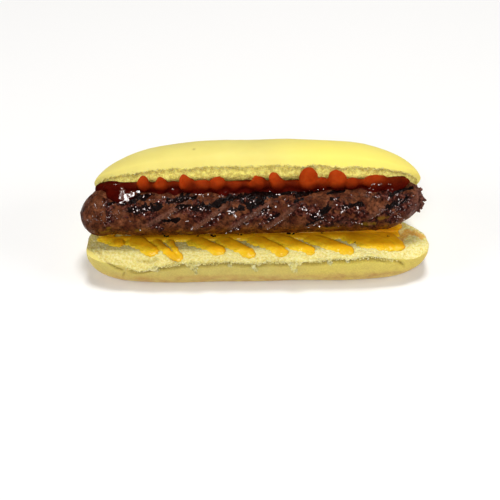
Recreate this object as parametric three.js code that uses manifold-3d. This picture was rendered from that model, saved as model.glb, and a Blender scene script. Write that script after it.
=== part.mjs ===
// A hot dog: a grilled sausage in a long soft roll that is split along its front,
// with ketchup along the sausage's top and mustard strokes on the lower cut face.
// Millimetres. +X runs along the roll, -Y is the open front, +Z is up.
import * as THREE from 'three';
import { ParametricGeometry } from 'three/addons/geometries/ParametricGeometry.js';
import { mergeGeometries, mergeVertices } from 'three/addons/utils/BufferGeometryUtils.js';
import Module from 'manifold-3d';

const wasm = await Module();
wasm.setup();

const CLEARANCE = 0.3;

// Roll
const TOP_HALF_REACH = 70;
const HINGE_REACH = 63;
const BASE_HALF_REACH = 73.4;
const RIGHT_NOTCH = 4;
const END_BULGE = 2.4;
const TOP_LEFT_POWER = 2.45;
const TOP_RIGHT_POWER = 2.7;
const BASE_LEFT_POWER = 5.5;
const BASE_RIGHT_POWER = 4.5;
const BASE_END_DROOP = 1.2;
const HINGE_PLACE = 0.42;
const TOP_TIP_ON_CUT = 0.29;
const BASE_TIP_ON_CUT = 0.77;
const ROLL_STEPS_LONG = 50;
const ROLL_STEPS_ROUND = 20;
const CRUST_WAVE = 0.35;
const SHOULDER_RISE = 0.8;

// Sausage
const SAUSAGE_LEFT = -76.6;
const SAUSAGE_RIGHT = 72.6;
const SAUSAGE_RADIUS = 10.1;
const SLASH_DEPTH = 0.9;
const SLASH_LIP = 0.45;
const SLASH_WIDTH = 1.5;
const SLASH_SLANT = 15.4;
const SLASH_PLACES = [-56, -37.4, -17.1, 0.3, 13.9, 31.4, 53.6];
const BLISTER_HEIGHT = 0.22;
const TORN_SLANT = 7.5;
const TORN_LENGTH = 26;
const SAUSAGE_STEPS_LONG = 84;
const SAUSAGE_STEPS_ROUND = 20;

// Sauces
const KETCHUP_LEFT = -71;
const KETCHUP_RIGHT = 60;
const KETCHUP_DEPTH = 5;
const KETCHUP_HEIGHT = 4.3;
const MUSTARD_LEFT = -69;
const MUSTARD_RIGHT = 66;
const MUSTARD_DEPTH = 4;
const MUSTARD_HEIGHT = 3.2;
const STROKE_THICKNESS = 1.9;
const SAUCE_STEPS_LONG = 44;
const SAUCE_STEPS_ROUND = 10;

const { lerp, clamp, smoothstep } = THREE.MathUtils;

const superellipse = (t, power) => (1 - Math.min(1, Math.abs(t)) ** power) ** (1 / power);
const bump = (x, centre, width) => Math.exp(-(((x - centre) / width) ** 2));

// Cross-section of the roll at mid-length as [y, z]: both lines run from the lip of the
// top half round the hinge at the back to the front edge of the base half.
const sectionLine = (points) => new THREE.CatmullRomCurve3(
  points.map(([y, z]) => new THREE.Vector3(0, y, z)),
);

const crustLine = sectionLine([
  [-3, 48.5], [1, 51], [8, 50.5], [17.5, 45.5], [25, 36], [27.5, 25], [27, 14], [23, 4],
  [16, -2.5], [0, -3], [-16, -3], [-22.5, -2], [-27, 2.6], [-29.5, 9], [-28.4, 15],
]);
const cutLine = sectionLine([
  [-3, 48.5], [-0.5, 41], [2.5, 33], [6, 24], [9, 17.5], [2, 14.5], [-9, 13.5], [-20, 15],
  [-28.4, 15],
]);

// Half-length of the cut face, by the place on the cut line (0 top lip, 1 base edge).
const cutReach = new THREE.CatmullRomCurve3([
  new THREE.Vector3(-0.2, TOP_HALF_REACH, 0),
  new THREE.Vector3(0.27, TOP_HALF_REACH, 0),
  new THREE.Vector3(0.39, lerp(HINGE_REACH, TOP_HALF_REACH, 0.75), 0),
  new THREE.Vector3(0.5, HINGE_REACH, 0),
  new THREE.Vector3(0.6, lerp(HINGE_REACH, BASE_HALF_REACH, 0.4), 0),
  new THREE.Vector3(0.69, lerp(HINGE_REACH, BASE_HALF_REACH, 0.8), 0),
  new THREE.Vector3(0.75, BASE_HALF_REACH, 0),
  new THREE.Vector3(1.2, BASE_HALF_REACH, 0),
]);

function reachAt(place) {
  let low = 0;
  let high = 1;
  for (let i = 0; i < 24; i += 1) {
    const middle = (low + high) / 2;
    if (cutReach.getPoint(middle).x < place) low = middle;
    else high = middle;
  }
  return cutReach.getPoint(low).y;
}

// How far the rise or droop of the front edge departs from a straight line.
function edgeRise(x) {
  const sags = -4 * bump(x, -52, 13) - 3 * bump(x, 65, 7) - 1.2 * bump(x, 0, 3);
  const lifts = 1.6 * bump(x, 42, 12) + 0.5 * Math.sin(x * 0.41 + 1);
  return sags + lifts;
}

const topEndPower = (along) => (along < 0 ? TOP_LEFT_POWER : TOP_RIGHT_POWER);
const baseEndPower = (along) => (along < 0 ? BASE_LEFT_POWER : BASE_RIGHT_POWER);

// Place on the cut line of the point at `round` (0 top lip, 1 base edge) and `along` (-1..1).
function placeOnCut(along, round) {
  const lip = TOP_TIP_ON_CUT * (1 - superellipse(along, topEndPower(along)));
  const edge = 1 - (1 - BASE_TIP_ON_CUT) * (1 - superellipse(along, baseEndPower(along)));
  if (round < HINGE_PLACE) return lerp(lip, 0.5, round / HINGE_PLACE);
  return lerp(0.5, edge, (round - HINGE_PLACE) / (1 - HINGE_PLACE));
}

function cutFacePoint(along, round, target) {
  const place = placeOnCut(along, round);
  const notch = along > 0 ? RIGHT_NOTCH * bump(place, 0.64, 0.07) : 0;
  cutLine.getPoint(place, target);
  target.x = along * (reachAt(place) - notch);
  const base = smoothstep(place, 0.5, 0.8);
  target.z -= BASE_END_DROOP * base * (1 - superellipse(along, baseEndPower(along)));
  target.z += edgeRise(target.x) * smoothstep(round, 0.86, 1);
  return target;
}

const crustPlace = (round) => (round < HINGE_PLACE
  ? lerp(0, 0.393, round / HINGE_PLACE)
  : lerp(0.393, 1, (round - HINGE_PLACE) / (1 - HINGE_PLACE)));
const cutPlace = (round) => placeOnCut(0, round);

const shoulders = (x) => bump(x, -44, 17) + bump(x, 46, 15);

function crustPoint(along, round, target) {
  const outside = crustLine.getPoint(crustPlace(round));
  const thickness = outside.sub(cutLine.getPoint(cutPlace(round)));
  const offRim = Math.min(1, thickness.length() / 6);
  const power = lerp(topEndPower(along), baseEndPower(along), smoothstep(round, 0.3, 0.6));
  const fullness = superellipse(along, power);
  const wave = Math.sin(along * 9 + round * 7) * Math.sin(along * 4 - round * 13 + 2);
  const scale = fullness * (1 + (CRUST_WAVE * wave) / 20);
  cutFacePoint(along, round, target).addScaledVector(thickness, scale);
  target.x += Math.sign(along) * END_BULGE * offRim * 4 * fullness * (1 - fullness);
  target.z += SHOULDER_RISE * shoulders(target.x) * bump(round, 0.2, 0.16) * offRim * fullness;
  target.z = Math.max(0, target.z);
  return target;
}

const alongAt = (v) => Math.sin((v - 0.5) * Math.PI);

// Joins skins that share their rims into one skin, without the faces that have no area.
function closedSkin(skins) {
  skins.forEach((skin) => skin.deleteAttribute('normal'));
  skins.forEach((skin) => skin.deleteAttribute('uv'));
  const skin = mergeVertices(mergeGeometries(skins), 1e-4);
  const corners = skin.index.array;
  const kept = [];
  for (let i = 0; i < corners.length; i += 3) {
    const [a, b, c] = corners.slice(i, i + 3);
    if (a !== b && b !== c && c !== a) kept.push(a, b, c);
  }
  skin.setIndex(kept);
  return skin;
}

function solidFrom(skin) {
  return new wasm.Manifold(new wasm.Mesh({
    numProp: 3,
    vertProperties: new Float32Array(skin.attributes.position.array),
    triVerts: new Uint32Array(skin.index.array),
  }));
}

// The same skin moved outwards by a distance, to cut a clearance in a neighbour.
function grown(skin, distance) {
  const wider = skin.clone();
  wider.computeVertexNormals();
  const { position, normal } = wider.attributes;
  const at = new THREE.Vector3();
  const out = new THREE.Vector3();
  for (let i = 0; i < position.count; i += 1) {
    at.fromBufferAttribute(position, i);
    out.fromBufferAttribute(normal, i);
    at.addScaledVector(out, distance);
    position.setXYZ(i, at.x, at.y, at.z);
  }
  return wider;
}

function rollSkin(stepsLong, stepsRound) {
  const crust = new ParametricGeometry(
    (u, v, target) => crustPoint(alongAt(v), 1 - u, target),
    stepsRound,
    stepsLong,
  );
  const cutFace = new ParametricGeometry(
    (u, v, target) => cutFacePoint(alongAt(v), u, target),
    stepsRound,
    stepsLong,
  );
  return closedSkin([crust, cutFace]);
}

// A closed body swept along X: `ringPoint(x, angle, fullness, target)` gives its surface.
function sweptSkin(left, right, stepsLong, stepsRound, ringPoint) {
  const surface = new ParametricGeometry(
    (u, v, target) => {
      const along = alongAt(v);
      const x = lerp(left, right, (along + 1) / 2);
      const turn = u === 0 ? 0 : (1 - u) * Math.PI * 2;
      return ringPoint(x, turn, superellipse(along, 2), target);
    },
    stepsRound,
    stepsLong,
  );
  return closedSkin([surface]);
}

function sausageCentre(x) {
  const share = x / 150;
  return [-8.9 + share * 1.4, 28.3 + share * 0.8 + 2.6 * share ** 2];
}

// Fullness of the sausage: a round left end and a blunter, torn right end.
function sausageFullness(x) {
  const leftEnd = superellipse(clamp((SAUSAGE_LEFT + 9 - x) / 9, 0, 1), 2.3);
  const rightEnd = superellipse(clamp((x - SAUSAGE_RIGHT + 6) / 6, 0, 1), 2.6);
  return Math.min(leftEnd, rightEnd) * (1 - 0.05 * bump(x, -60, 5));
}

// Slashes cross the skin on a slant, each a groove between two raised lips.
function slashRelief(x, turn) {
  const facing = (turn - Math.PI / 4) / 1.25;
  const reach = Math.max(0, 1 - facing ** 4);
  return SLASH_PLACES.reduce((sum, place) => {
    const off = x - place - SLASH_SLANT * (turn - Math.PI / 4);
    const groove = -(SLASH_DEPTH + SLASH_LIP) * bump(off, 0, SLASH_WIDTH);
    const lips = SLASH_LIP * bump(off, 0, SLASH_WIDTH * 2.6);
    return sum + reach * (groove + lips);
  }, 0);
}

function blisterRelief(x, turn) {
  const fine = Math.sin(x * 0.9 + 3 * Math.sin(turn * 2)) * Math.sin(turn * 5 + x * 0.31);
  const torn = 0.9 * smoothstep(x, SAUSAGE_RIGHT - 6, SAUSAGE_RIGHT) * Math.sin(turn * 7 + x);
  return BLISTER_HEIGHT * fine + torn;
}

// `turn` is 0 towards the front and a quarter turn at the top.
function sausagePoint(x, turn, unused, target) {
  const [y, z] = sausageCentre(x);
  const fullness = sausageFullness(x);
  const signed = turn > Math.PI * 1.25 ? turn - Math.PI * 2 : turn;
  const relief = (slashRelief(x, signed) + blisterRelief(x, turn)) * Math.min(1, fullness * 1.2);
  const radius = fullness > 0 ? SAUSAGE_RADIUS * fullness + relief * fullness : 0;
  const low = (1 - Math.sin(turn)) * (radius / SAUSAGE_RADIUS);
  const slanted = x - TORN_SLANT * low * smoothstep(x, SAUSAGE_RIGHT - TORN_LENGTH, SAUSAGE_RIGHT);
  return target.set(slanted, y - Math.cos(turn) * radius, z + Math.sin(turn) * radius);
}

const sausageSkin = (stepsLong, stepsRound) => (
  sweptSkin(SAUSAGE_LEFT, SAUSAGE_RIGHT, stepsLong, stepsRound, sausagePoint)
);

// A blob of sauce with its half-sizes, turned about X and then about Z.
function blob(centre, halfSizes, tilt, heading) {
  const shape = new THREE.SphereGeometry(1, 10, 7);
  shape.scale(...halfSizes);
  shape.rotateX(tilt);
  shape.rotateZ(heading);
  shape.translate(...centre);
  return solidFrom(closedSkin([shape]));
}

const joined = (solids) => solids.reduce((whole, solid) => whole.add(solid));

// The largest piece that is left when a sauce is cut back from what it lies on.
function fitted(sauce, neighbours) {
  const cut = neighbours.reduce((left, neighbour) => left.subtract(neighbour), sauce);
  const pieces = cut.decompose();
  return pieces.reduce((best, piece) => (piece.volume() > best.volume() ? piece : best));
}

function ketchupBead() {
  const skin = sweptSkin(
    KETCHUP_LEFT,
    KETCHUP_RIGHT,
    SAUCE_STEPS_LONG,
    SAUCE_STEPS_ROUND,
    (x, turn, fullness, target) => {
      const lump = fullness ** 0.5 * (1 + 0.1 * Math.sin(x * 0.62) + 0.06 * Math.sin(x * 1.3));
      const y = -1.8 - Math.cos(turn) * KETCHUP_DEPTH * lump;
      const z = 36.6 + Math.sin(turn) * KETCHUP_HEIGHT * lump;
      return target.set(x, y, z);
    },
  );
  return solidFrom(skin);
}

// Ketchup lobes that stand on the sausage: [x, half-length, half-height, z].
const KETCHUP_LOBES = [
  [-50.4, 5, 3.4, 38.6], [-41.5, 4.6, 3.4, 38.2], [-32.2, 4.6, 3.8, 38.8],
  [-17.4, 5.4, 3.6, 38.4], [-1.2, 4.6, 3.8, 38.6], [6.4, 3.6, 4.6, 39.8],
  [21.8, 4.2, 5, 41.4], [27, 4.4, 2.8, 39], [34, 4, 5, 41], [51, 7.4, 3.6, 38.4],
];

function ketchupSolid(neighbours) {
  const lobes = KETCHUP_LOBES.map(([x, long, high, z]) => (
    blob([x, -4, z], [long, 3.2, high], -0.5, 0)
  ));
  return fitted(joined([ketchupBead(), ...lobes]), neighbours);
}

function mustardBead() {
  const skin = sweptSkin(
    MUSTARD_LEFT,
    MUSTARD_RIGHT,
    SAUCE_STEPS_LONG,
    SAUCE_STEPS_ROUND,
    (x, turn, fullness, target) => {
      const lump = fullness ** 0.7 * (1 + 0.12 * Math.sin(x * 0.42 + 1) + 0.06 * Math.sin(x));
      const y = -11.4 - Math.cos(turn) * MUSTARD_DEPTH * lump;
      const z = 16.4 + Math.sin(turn) * MUSTARD_HEIGHT * lump;
      return target.set(x, y, z);
    },
  );
  return solidFrom(skin);
}

// Mustard strokes: [x and y of the root under the sausage, x and y of the tip, half-width].
const STROKES = [
  [-67, -13, -59.5, -18.6, 3.6], [-58, -13, -45, -23.4, 2.8], [-49.6, -14, -30.5, -26.8, 2.3],
  [-38.4, -13, -33.6, -26, 2], [-31, -14.4, -14.8, -24, 2.8], [-19, -14, -1.4, -25.4, 2.7],
  [-1.8, -13.4, 12, -25.2, 2.7], [5.6, -13, 24, -24.2, 3], [18, -13, 40.6, -25.2, 2.8],
  [35, -13, 61, -21.4, 5], [50, -13, 62, -20.4, 4.6],
];

function mustardStroke([rootX, rootY, tipX, tipY, halfWidth]) {
  const root = new THREE.Vector2(rootX, rootY);
  const tip = new THREE.Vector2(tipX, tipY);
  const heading = Math.atan2(tip.y - root.y, tip.x - root.x);
  const middle = root.clone().lerp(tip, 0.5);
  const halfLength = root.distanceTo(tip) / 2 + 0.6;
  return blob([middle.x, middle.y, 15.6], [halfLength, halfWidth, STROKE_THICKNESS], 0, heading);
}

function mustardSolid(neighbours) {
  const strokes = STROKES.map(mustardStroke);
  return fitted(joined([mustardBead(), ...strokes]), neighbours);
}

// Torn flaps of crumb that hang over the front edge: [x, z, half-width, half-height].
const TORN_FLAPS = [[-28.4, 12.4, 1.9, 2.6], [16, 11.6, 1.9, 4], [0, 12, 1.4, 1.8]];

function rollSolid(skin) {
  const flaps = TORN_FLAPS.map(([x, z, wide, high]) => (
    blob([x, -28.7, z], [wide, 1.3, high], -0.12, 0)
  ));
  return joined([solidFrom(skin), ...flaps]);
}

function geometryOf(solid) {
  const mesh = solid.getMesh();
  const geometry = new THREE.BufferGeometry();
  geometry.setAttribute('position', new THREE.BufferAttribute(mesh.vertProperties, 3));
  geometry.setIndex(new THREE.BufferAttribute(mesh.triVerts, 1));
  geometry.computeVertexNormals();
  return geometry;
}

function piece(name, solid, color, roughness) {
  const material = new THREE.MeshStandardMaterial({ color, roughness, metalness: 0 });
  const mesh = new THREE.Mesh(geometryOf(solid), material);
  mesh.name = name;
  return mesh;
}

// Puts the origin below the middle of the whole, where it rests.
function standingOnOrigin(group) {
  const box = new THREE.Box3().setFromObject(group);
  const middle = box.getCenter(new THREE.Vector3());
  group.children.forEach((mesh) => mesh.geometry.translate(-middle.x, -middle.y, -box.min.z));
  return group;
}

function hotDog() {
  const roll = rollSkin(ROLL_STEPS_LONG, ROLL_STEPS_ROUND);
  const sausage = sausageSkin(SAUSAGE_STEPS_LONG, SAUSAGE_STEPS_ROUND);
  const neighbours = [
    grown(rollSkin(24, 16), CLEARANCE * 2),
    grown(sausageSkin(26, 14), CLEARANCE * 3),
  ].map(solidFrom);
  const group = new THREE.Group();
  group.add(
    piece('bun', rollSolid(roll), '#ecdc8a', 0.75),
    piece('sausage', solidFrom(sausage), '#5a2c1a', 0.4),
    piece('ketchup', ketchupSolid(neighbours), '#8c1c0c', 0.2),
    piece('mustard', mustardSolid(neighbours), '#c9941c', 0.3),
  );
  return standingOnOrigin(group);
}

export default hotDog();
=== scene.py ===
import math

import bmesh
import bpy
import numpy as np
from mathutils import Matrix, Vector, noise
from mathutils.bvhtree import BVHTree


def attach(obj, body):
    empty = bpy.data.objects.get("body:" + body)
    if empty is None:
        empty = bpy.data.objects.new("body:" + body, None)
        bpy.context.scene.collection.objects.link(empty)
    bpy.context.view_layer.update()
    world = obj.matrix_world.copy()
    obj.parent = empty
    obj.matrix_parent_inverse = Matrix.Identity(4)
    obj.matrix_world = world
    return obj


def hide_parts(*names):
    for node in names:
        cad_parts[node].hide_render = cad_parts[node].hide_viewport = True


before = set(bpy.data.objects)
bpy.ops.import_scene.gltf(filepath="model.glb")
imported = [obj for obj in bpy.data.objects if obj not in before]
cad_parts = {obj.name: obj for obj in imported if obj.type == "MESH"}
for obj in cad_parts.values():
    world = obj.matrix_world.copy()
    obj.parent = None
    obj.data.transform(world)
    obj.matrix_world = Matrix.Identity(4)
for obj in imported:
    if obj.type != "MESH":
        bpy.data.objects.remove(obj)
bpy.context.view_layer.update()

# Lengths are in millimetres until a mesh is finished, and then scaled to metres. SHIFT puts the
# finished mesh where the solids are.
MM = 0.001
SHIFT = np.array([0.5804, 1.105, 0.0])

# The roll: how far each part of it reaches to the sides, the notch beside the sausage, how
# square the ends of each half are, heights of its soft forms, and places along its crust and
# its cut, which both run from 0 at the lip to 1 at the front edge of the base half.
ROLL = {
    "top_reach": 70.0, "hinge_reach": 63.0, "base_reach": 74.6, "bulge": 2.4,
    "notch": 8.6, "notch_place": 0.648, "notch_width": 0.072,
    "top_left": 2.45, "top_right": 2.7, "base_left": 5.5, "base_right": 4.5,
    "droop": 1.2, "shoulder": 0.8, "front_lift": 1.7, "wall_bulge": 3.3,
    "hinge": 0.42, "crust_hinge": 0.393, "top_tip": 0.29, "base_tip": 0.77,
}
SAUSAGE = {"left": -76.6, "right": 71.8, "radius": 10.1, "torn_slant": 7.5, "torn_length": 26.0}


# ---------------------------------------------------------------- shape helpers

def superellipse(t, power):
    """A rounded end: 1 at t = 0 and 0 from t = 1 on; the higher the power, the squarer it is."""
    return np.maximum(0.0, 1 - np.minimum(1.0, np.abs(t)) ** power) ** (1 / power)


def bump(x, centre, width):
    """A soft hill, 1 high at its centre."""
    return np.exp(-((x - centre) / width) ** 2)


def smoothstep(x, low, high):
    """0 up to low, 1 from high on, and a smooth rise between them."""
    t = np.clip((x - low) / (high - low), 0.0, 1.0)
    return t * t * (3 - 2 * t)


def lerp(a, b, t):
    """From a at t = 0 to b at t = 1, in a straight run."""
    return a + (b - a) * t


def smooth_line(points, samples=2400):
    """A centripetal Catmull-Rom line through the points, as a table of even parameters."""
    pts = np.array(points, float)
    pts = np.vstack([2 * pts[0] - pts[1], pts, 2 * pts[-1] - pts[-2]])
    spans = len(points) - 1
    place = np.linspace(0, spans, samples)
    index = np.minimum(place.astype(int), spans - 1)
    t = (place - index)[:, None]
    p0, p1, p2, p3 = (pts[index + k] for k in range(4))
    d0, d1, d2 = (
        np.maximum(np.linalg.norm(b - a, axis=1), 1e-6)[:, None] ** 0.5
        for a, b in ((p0, p1), (p1, p2), (p2, p3))
    )
    m1 = ((p1 - p0) / d0 - (p2 - p0) / (d0 + d1) + (p2 - p1) / d1) * d1
    m2 = ((p2 - p1) / d1 - (p3 - p1) / (d1 + d2) + (p3 - p2) / d2) * d1
    value = (p1 + m1 * t + (-3 * p1 + 3 * p2 - 2 * m1 - m2) * t ** 2
             + (2 * p1 - 2 * p2 + m1 + m2) * t ** 3)
    return np.linspace(0, 1, samples), value


def on_line(line, t):
    """Places on a table from smooth_line, for t from 0 to 1."""
    grid, value = line
    return np.stack([np.interp(t, grid, value[:, k]) for k in range(value.shape[1])], axis=-1)


def noise_field(points, size, seed=0.0, octaves=1):
    """Smooth noise of about -1 to 1 at each point, with features of the given size."""
    flat = points.reshape(-1, 3) / size + seed
    if octaves == 1:
        values = [noise.noise(Vector(p)) for p in flat]
    else:
        values = [noise.fractal(Vector(p), 0.8, 2.1, octaves) for p in flat]
    return np.array(values).reshape(points.shape[:-1])


def cell_pits(points, size, seed=0.0):
    """Depth of round pores: 0 between them and 1 at their centres."""
    flat = points.reshape(-1, 3) / size + seed
    near = [noise.voronoi(Vector(p))[0][0] for p in flat]
    return np.clip(1 - np.array(near).reshape(points.shape[:-1]) * 1.6, 0, 1)


# ---------------------------------------------------------------- mesh helpers

def add_sheet(bm, points):
    """A grid of quads whose corners take the given places; returns its vertices row by row."""
    columns, rows = points.shape[1] - 1, points.shape[0] - 1
    made = bmesh.ops.create_grid(bm, x_segments=columns, y_segments=rows, size=1.0)["verts"]
    for vertex, place in zip(made, points.reshape(-1, 3)):
        vertex.co = place
    return made


def close_up(bm, distance=0.004):
    """Merges vertices that lie within a distance and turns all faces outwards."""
    bmesh.ops.remove_doubles(bm, verts=bm.verts, dist=distance)
    bmesh.ops.recalc_face_normals(bm, faces=bm.faces)
    bm.normal_update()


def places(bm):
    """The place of every vertex."""
    return np.array([v.co for v in bm.verts])


def facings(bm):
    """The direction that every vertex faces."""
    return np.array([v.normal for v in bm.verts])


def put_back(bm, points):
    """Moves every vertex to its new place."""
    for vertex, place in zip(bm.verts, points):
        vertex.co = place


def take_values(bm, keys):
    """Reads the named values off the vertices and removes their layers."""
    layers = bm.verts.layers.float
    values = {key: np.array([vertex[layers[key]] for vertex in bm.verts]) for key in keys}
    for key in keys:
        layers.remove(layers[key])
    return values


def finish_piece(bm, name, material, replaces=None, masks=None):
    """Scales the mesh to metres and makes it a smooth piece that rides with the hot dog."""
    bmesh.ops.translate(bm, verts=bm.verts, vec=Vector(SHIFT))
    bmesh.ops.scale(bm, verts=bm.verts, vec=(MM, MM, MM))
    for face in bm.faces:
        face.smooth = True
    mesh = bpy.data.meshes.new(name)
    bm.to_mesh(mesh)
    bm.free()
    for key, values in (masks or {}).items():
        layer = mesh.attributes.new(key, "FLOAT", "POINT")
        spread = np.broadcast_to(np.asarray(values, np.float32), len(mesh.vertices))
        layer.data.foreach_set("value", np.ascontiguousarray(spread))
    mesh.materials.append(material)
    piece = bpy.data.objects.new(name, mesh)
    bpy.context.scene.collection.objects.link(piece)
    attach(piece, "root")
    if replaces:
        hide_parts(replaces)
    return piece


# ---------------------------------------------------------------- the roll

# The roll's section at its middle, as points of (y, z): its crust, from the lip over the top,
# the back and the underside to the front edge, and its cut, from the lip down to the hinge and
# forward to the same edge.
CRUST_LINE = smooth_line([
    (-3, 48.5), (1, 51), (8, 50.5), (17.5, 45.5), (25, 36), (27.5, 25), (27, 14), (23, 4),
    (16, -2.5), (0, -3), (-16, -3), (-22.5, -2), (-27, 2.6), (-29.5, 9), (-28.4, 15),
])
CUT_LINE = smooth_line([
    (-3, 48.5), (-0.5, 41), (2.5, 33), (6, 24), (9, 17.5), (2, 14.5), (-9, 13.5), (-20, 15),
    (-28.4, 15),
])


def reach_table():
    """How far each half reaches to the sides, from the lip over the hinge to the front edge."""
    top, hinge, base = ROLL["top_reach"], ROLL["hinge_reach"], ROLL["base_reach"]
    at = [-0.2, 0.27, 0.39, 0.5, 0.6, 0.69, 0.75, 1.2]
    reach = [top, top, lerp(hinge, top, 0.75), hinge, lerp(hinge, base, 0.4),
             lerp(hinge, base, 0.8), base, base]
    place = np.linspace(at[0], at[-1], 561)
    window = 27
    soft = np.hanning(window)
    padded = np.pad(np.interp(place, at, reach), window // 2, mode="edge")
    return place, np.convolve(padded, soft / soft.sum(), mode="valid")


REACH = reach_table()


def edge_rise(x):
    """How far the front edge of the base departs from a straight line."""
    sags = -4 * bump(x, -52, 13) - 3 * bump(x, 65, 7) - 1.2 * bump(x, 0, 3)
    return sags + 1.6 * bump(x, 42, 12) + 0.5 * np.sin(x * 0.41 + 1)


def front_lift(y):
    """The cut face of the base half rises a little towards its front edge."""
    return ROLL["front_lift"] * smoothstep(-y, 11, 26)


def squareness(along):
    """How square the end of the top half and that of the base half are, on each side."""
    left = along < 0
    return (np.where(left, ROLL["top_left"], ROLL["top_right"]),
            np.where(left, ROLL["base_left"], ROLL["base_right"]))


def place_on_cut(along, around):
    """The place on the section's cut that a grid place takes: the ends draw in to the hinge."""
    top_power, base_power = squareness(along)
    lip = ROLL["top_tip"] * (1 - superellipse(along, top_power))
    edge = 1 - (1 - ROLL["base_tip"]) * (1 - superellipse(along, base_power))
    hinge = ROLL["hinge"]
    upper = lerp(lip, 0.5, around / hinge)
    lower = lerp(0.5, edge, (around - hinge) / (1 - hinge))
    return np.where(around < hinge, upper, lower)


def cut_face(along, around):
    """The open faces of both halves; along runs from -1 to 1 and around from 0 to 1."""
    place = place_on_cut(along, around)
    notch = ROLL["notch"] * bump(place, ROLL["notch_place"], ROLL["notch_width"])
    x = along * (np.interp(place, *REACH) - np.where(along > 0, notch, 0.0))
    yz = on_line(CUT_LINE, place)
    base_end = 1 - superellipse(along, squareness(along)[1])
    z = yz[..., 1] - ROLL["droop"] * smoothstep(place, 0.5, 0.8) * base_end
    z = z + edge_rise(x) * smoothstep(around, 0.86, 1) + front_lift(yz[..., 0])
    return np.stack([x, yz[..., 0], z], axis=-1)


def crust(along, around):
    """The skin round the outside of the roll, which meets the cut faces at both edges."""
    hinge, crust_hinge = ROLL["hinge"], ROLL["crust_hinge"]
    crust_place = np.where(around < hinge, crust_hinge * around / hinge,
                           lerp(crust_hinge, 1, (around - hinge) / (1 - hinge)))
    through = on_line(CRUST_LINE, crust_place) - on_line(CUT_LINE, place_on_cut(0 * along, around))
    off_rim = np.minimum(1, np.linalg.norm(through, axis=-1) / 6)
    power = lerp(*squareness(along), smoothstep(around, 0.3, 0.6))
    base_full = np.maximum(0.0, 1 - np.abs(along) ** 9) ** 0.42
    wave_height, half_thickness = 0.35, 20
    full = lerp(superellipse(along, power), base_full, smoothstep(around, 0.5, 0.66))
    wave = np.sin(along * 9 + around * 7) * np.sin(along * 4 - around * 13 + 2)
    scale = full * (1 + wave_height * wave / half_thickness)
    points = cut_face(along, around)
    bulge = ROLL["bulge"] * (1 - 0.8 * smoothstep(around, 0.5, 0.7))
    points[..., 0] += np.sign(along) * bulge * off_rim * 4 * full * (1 - full)
    points[..., 2] -= front_lift(points[..., 1]) * off_rim
    points[..., 1] += through[..., 0] * scale
    points[..., 2] += through[..., 1] * scale
    shoulders = bump(points[..., 0], -44, 17) + bump(points[..., 0], 46, 15)
    points[..., 2] += ROLL["shoulder"] * shoulders * bump(around, 0.2, 0.16) * off_rim * full
    points[..., 2] = np.maximum(0.0, points[..., 2])
    return points


def even_stations(count, reach, depth, power):
    """Stations from -1 to 1 that lie evenly along the outline of a rounded end."""
    angle = np.linspace(0, math.pi / 2, 4000)
    out, full = np.sin(angle) ** (2 / power), np.cos(angle) ** (2 / power)
    steps = np.hypot(np.diff(out * reach), np.diff(full * depth))
    length = np.concatenate([[0], np.cumsum(steps)])
    half = np.interp(np.linspace(0, length[-1], count // 2 + 1), length, out)
    half[-1] = 1.0
    return np.concatenate([-half[:0:-1], half])


def stepped(parts):
    """One run of values made of (start, end, count) parts."""
    runs = [np.linspace(a, b, n, endpoint=False) for a, b, n in parts]
    return np.concatenate(runs + [[parts[-1][1]]])


# Lines on the roll, as points of (x, y, z): the crease at the left end, the crack under it,
# the soft fold in the crumb, and the crease at the right end.
LEFT_CREASE = [
    (-69.5, -20.1, 16.2), (-67.2, -23.5, 16.0), (-64.9, -26.4, 15.2), (-61.8, -27.6, 13.0),
    (-58.7, -27.7, 11.7),
]
LEFT_CRACK = [(-57.7, -27.5, 10.8), (-58.1, -28.5, 10.0), (-58.8, -28.0, 7.2)]
CRUMB_FOLD = [(-52.0, -25.3, 13.8), (-46.7, -26.1, 14.3), (-44.1, -25.5, 15.1)]
RIGHT_CREASE = [
    (46.2, -28.7, 17.8), (51.9, -27.9, 17.0), (56.3, -27.9, 15.2), (60.5, -27.2, 13.6),
    (62.0, -26.9, 12.0), (63.1, -26.1, 9.1),
]


def distance_to_line(points, line):
    """Shortest distance from each point to a chain of straight stretches."""
    line = np.array(line)
    best = np.full(len(points), 1e9)
    for a, b in zip(line[:-1], line[1:]):
        t = np.clip((points - a) @ (b - a) / ((b - a) @ (b - a)), 0, 1)
        best = np.minimum(best, np.linalg.norm(points - a - t[:, None] * (b - a), axis=1))
    return best


# Teeth along the front edge of the base half: x, half-width, how far they stand out and hang.
TEETH = [
    (-47.5, 2.2, 0.6, 0.9), (-44.6, 1.3, 1.0, 1.6), (-30.8, 0.8, 0.6, 1.6),
    (-28.3, 1.5, 1.1, 3.4), (-25.8, 0.9, 0.7, 1.5), (-36.0, 3.0, -0.8, -1.1),
    (-20.0, 2.5, -0.5, -0.6), (-2.3, 1.0, 1.0, 3.0), (0.2, 0.8, 0.6, 1.2), (6.0, 2.6, -0.4, -0.7),
    (13.0, 0.9, 0.8, 1.8), (15.1, 1.2, 1.3, 5.4), (17.6, 0.8, 0.7, 1.6), (26.0, 3.0, -0.5, -0.5),
    (38.0, 0.9, 0.4, 0.9), (45.0, 3.0, -0.3, -0.3), (-11.0, 0.9, 0.5, 1.0),
    (-16.0, 0.8, 0.4, 0.8), (30.5, 0.8, 0.5, 0.9),
]


def teeth(x):
    """How far the torn front edge stands out and how far it hangs."""
    out, hang = np.zeros_like(x), np.zeros_like(x)
    for at, width, stands, hangs in TEETH:
        out += stands * bump(x, at, width)
        hang += hangs * bump(x, at, width)
    return out, hang


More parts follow.
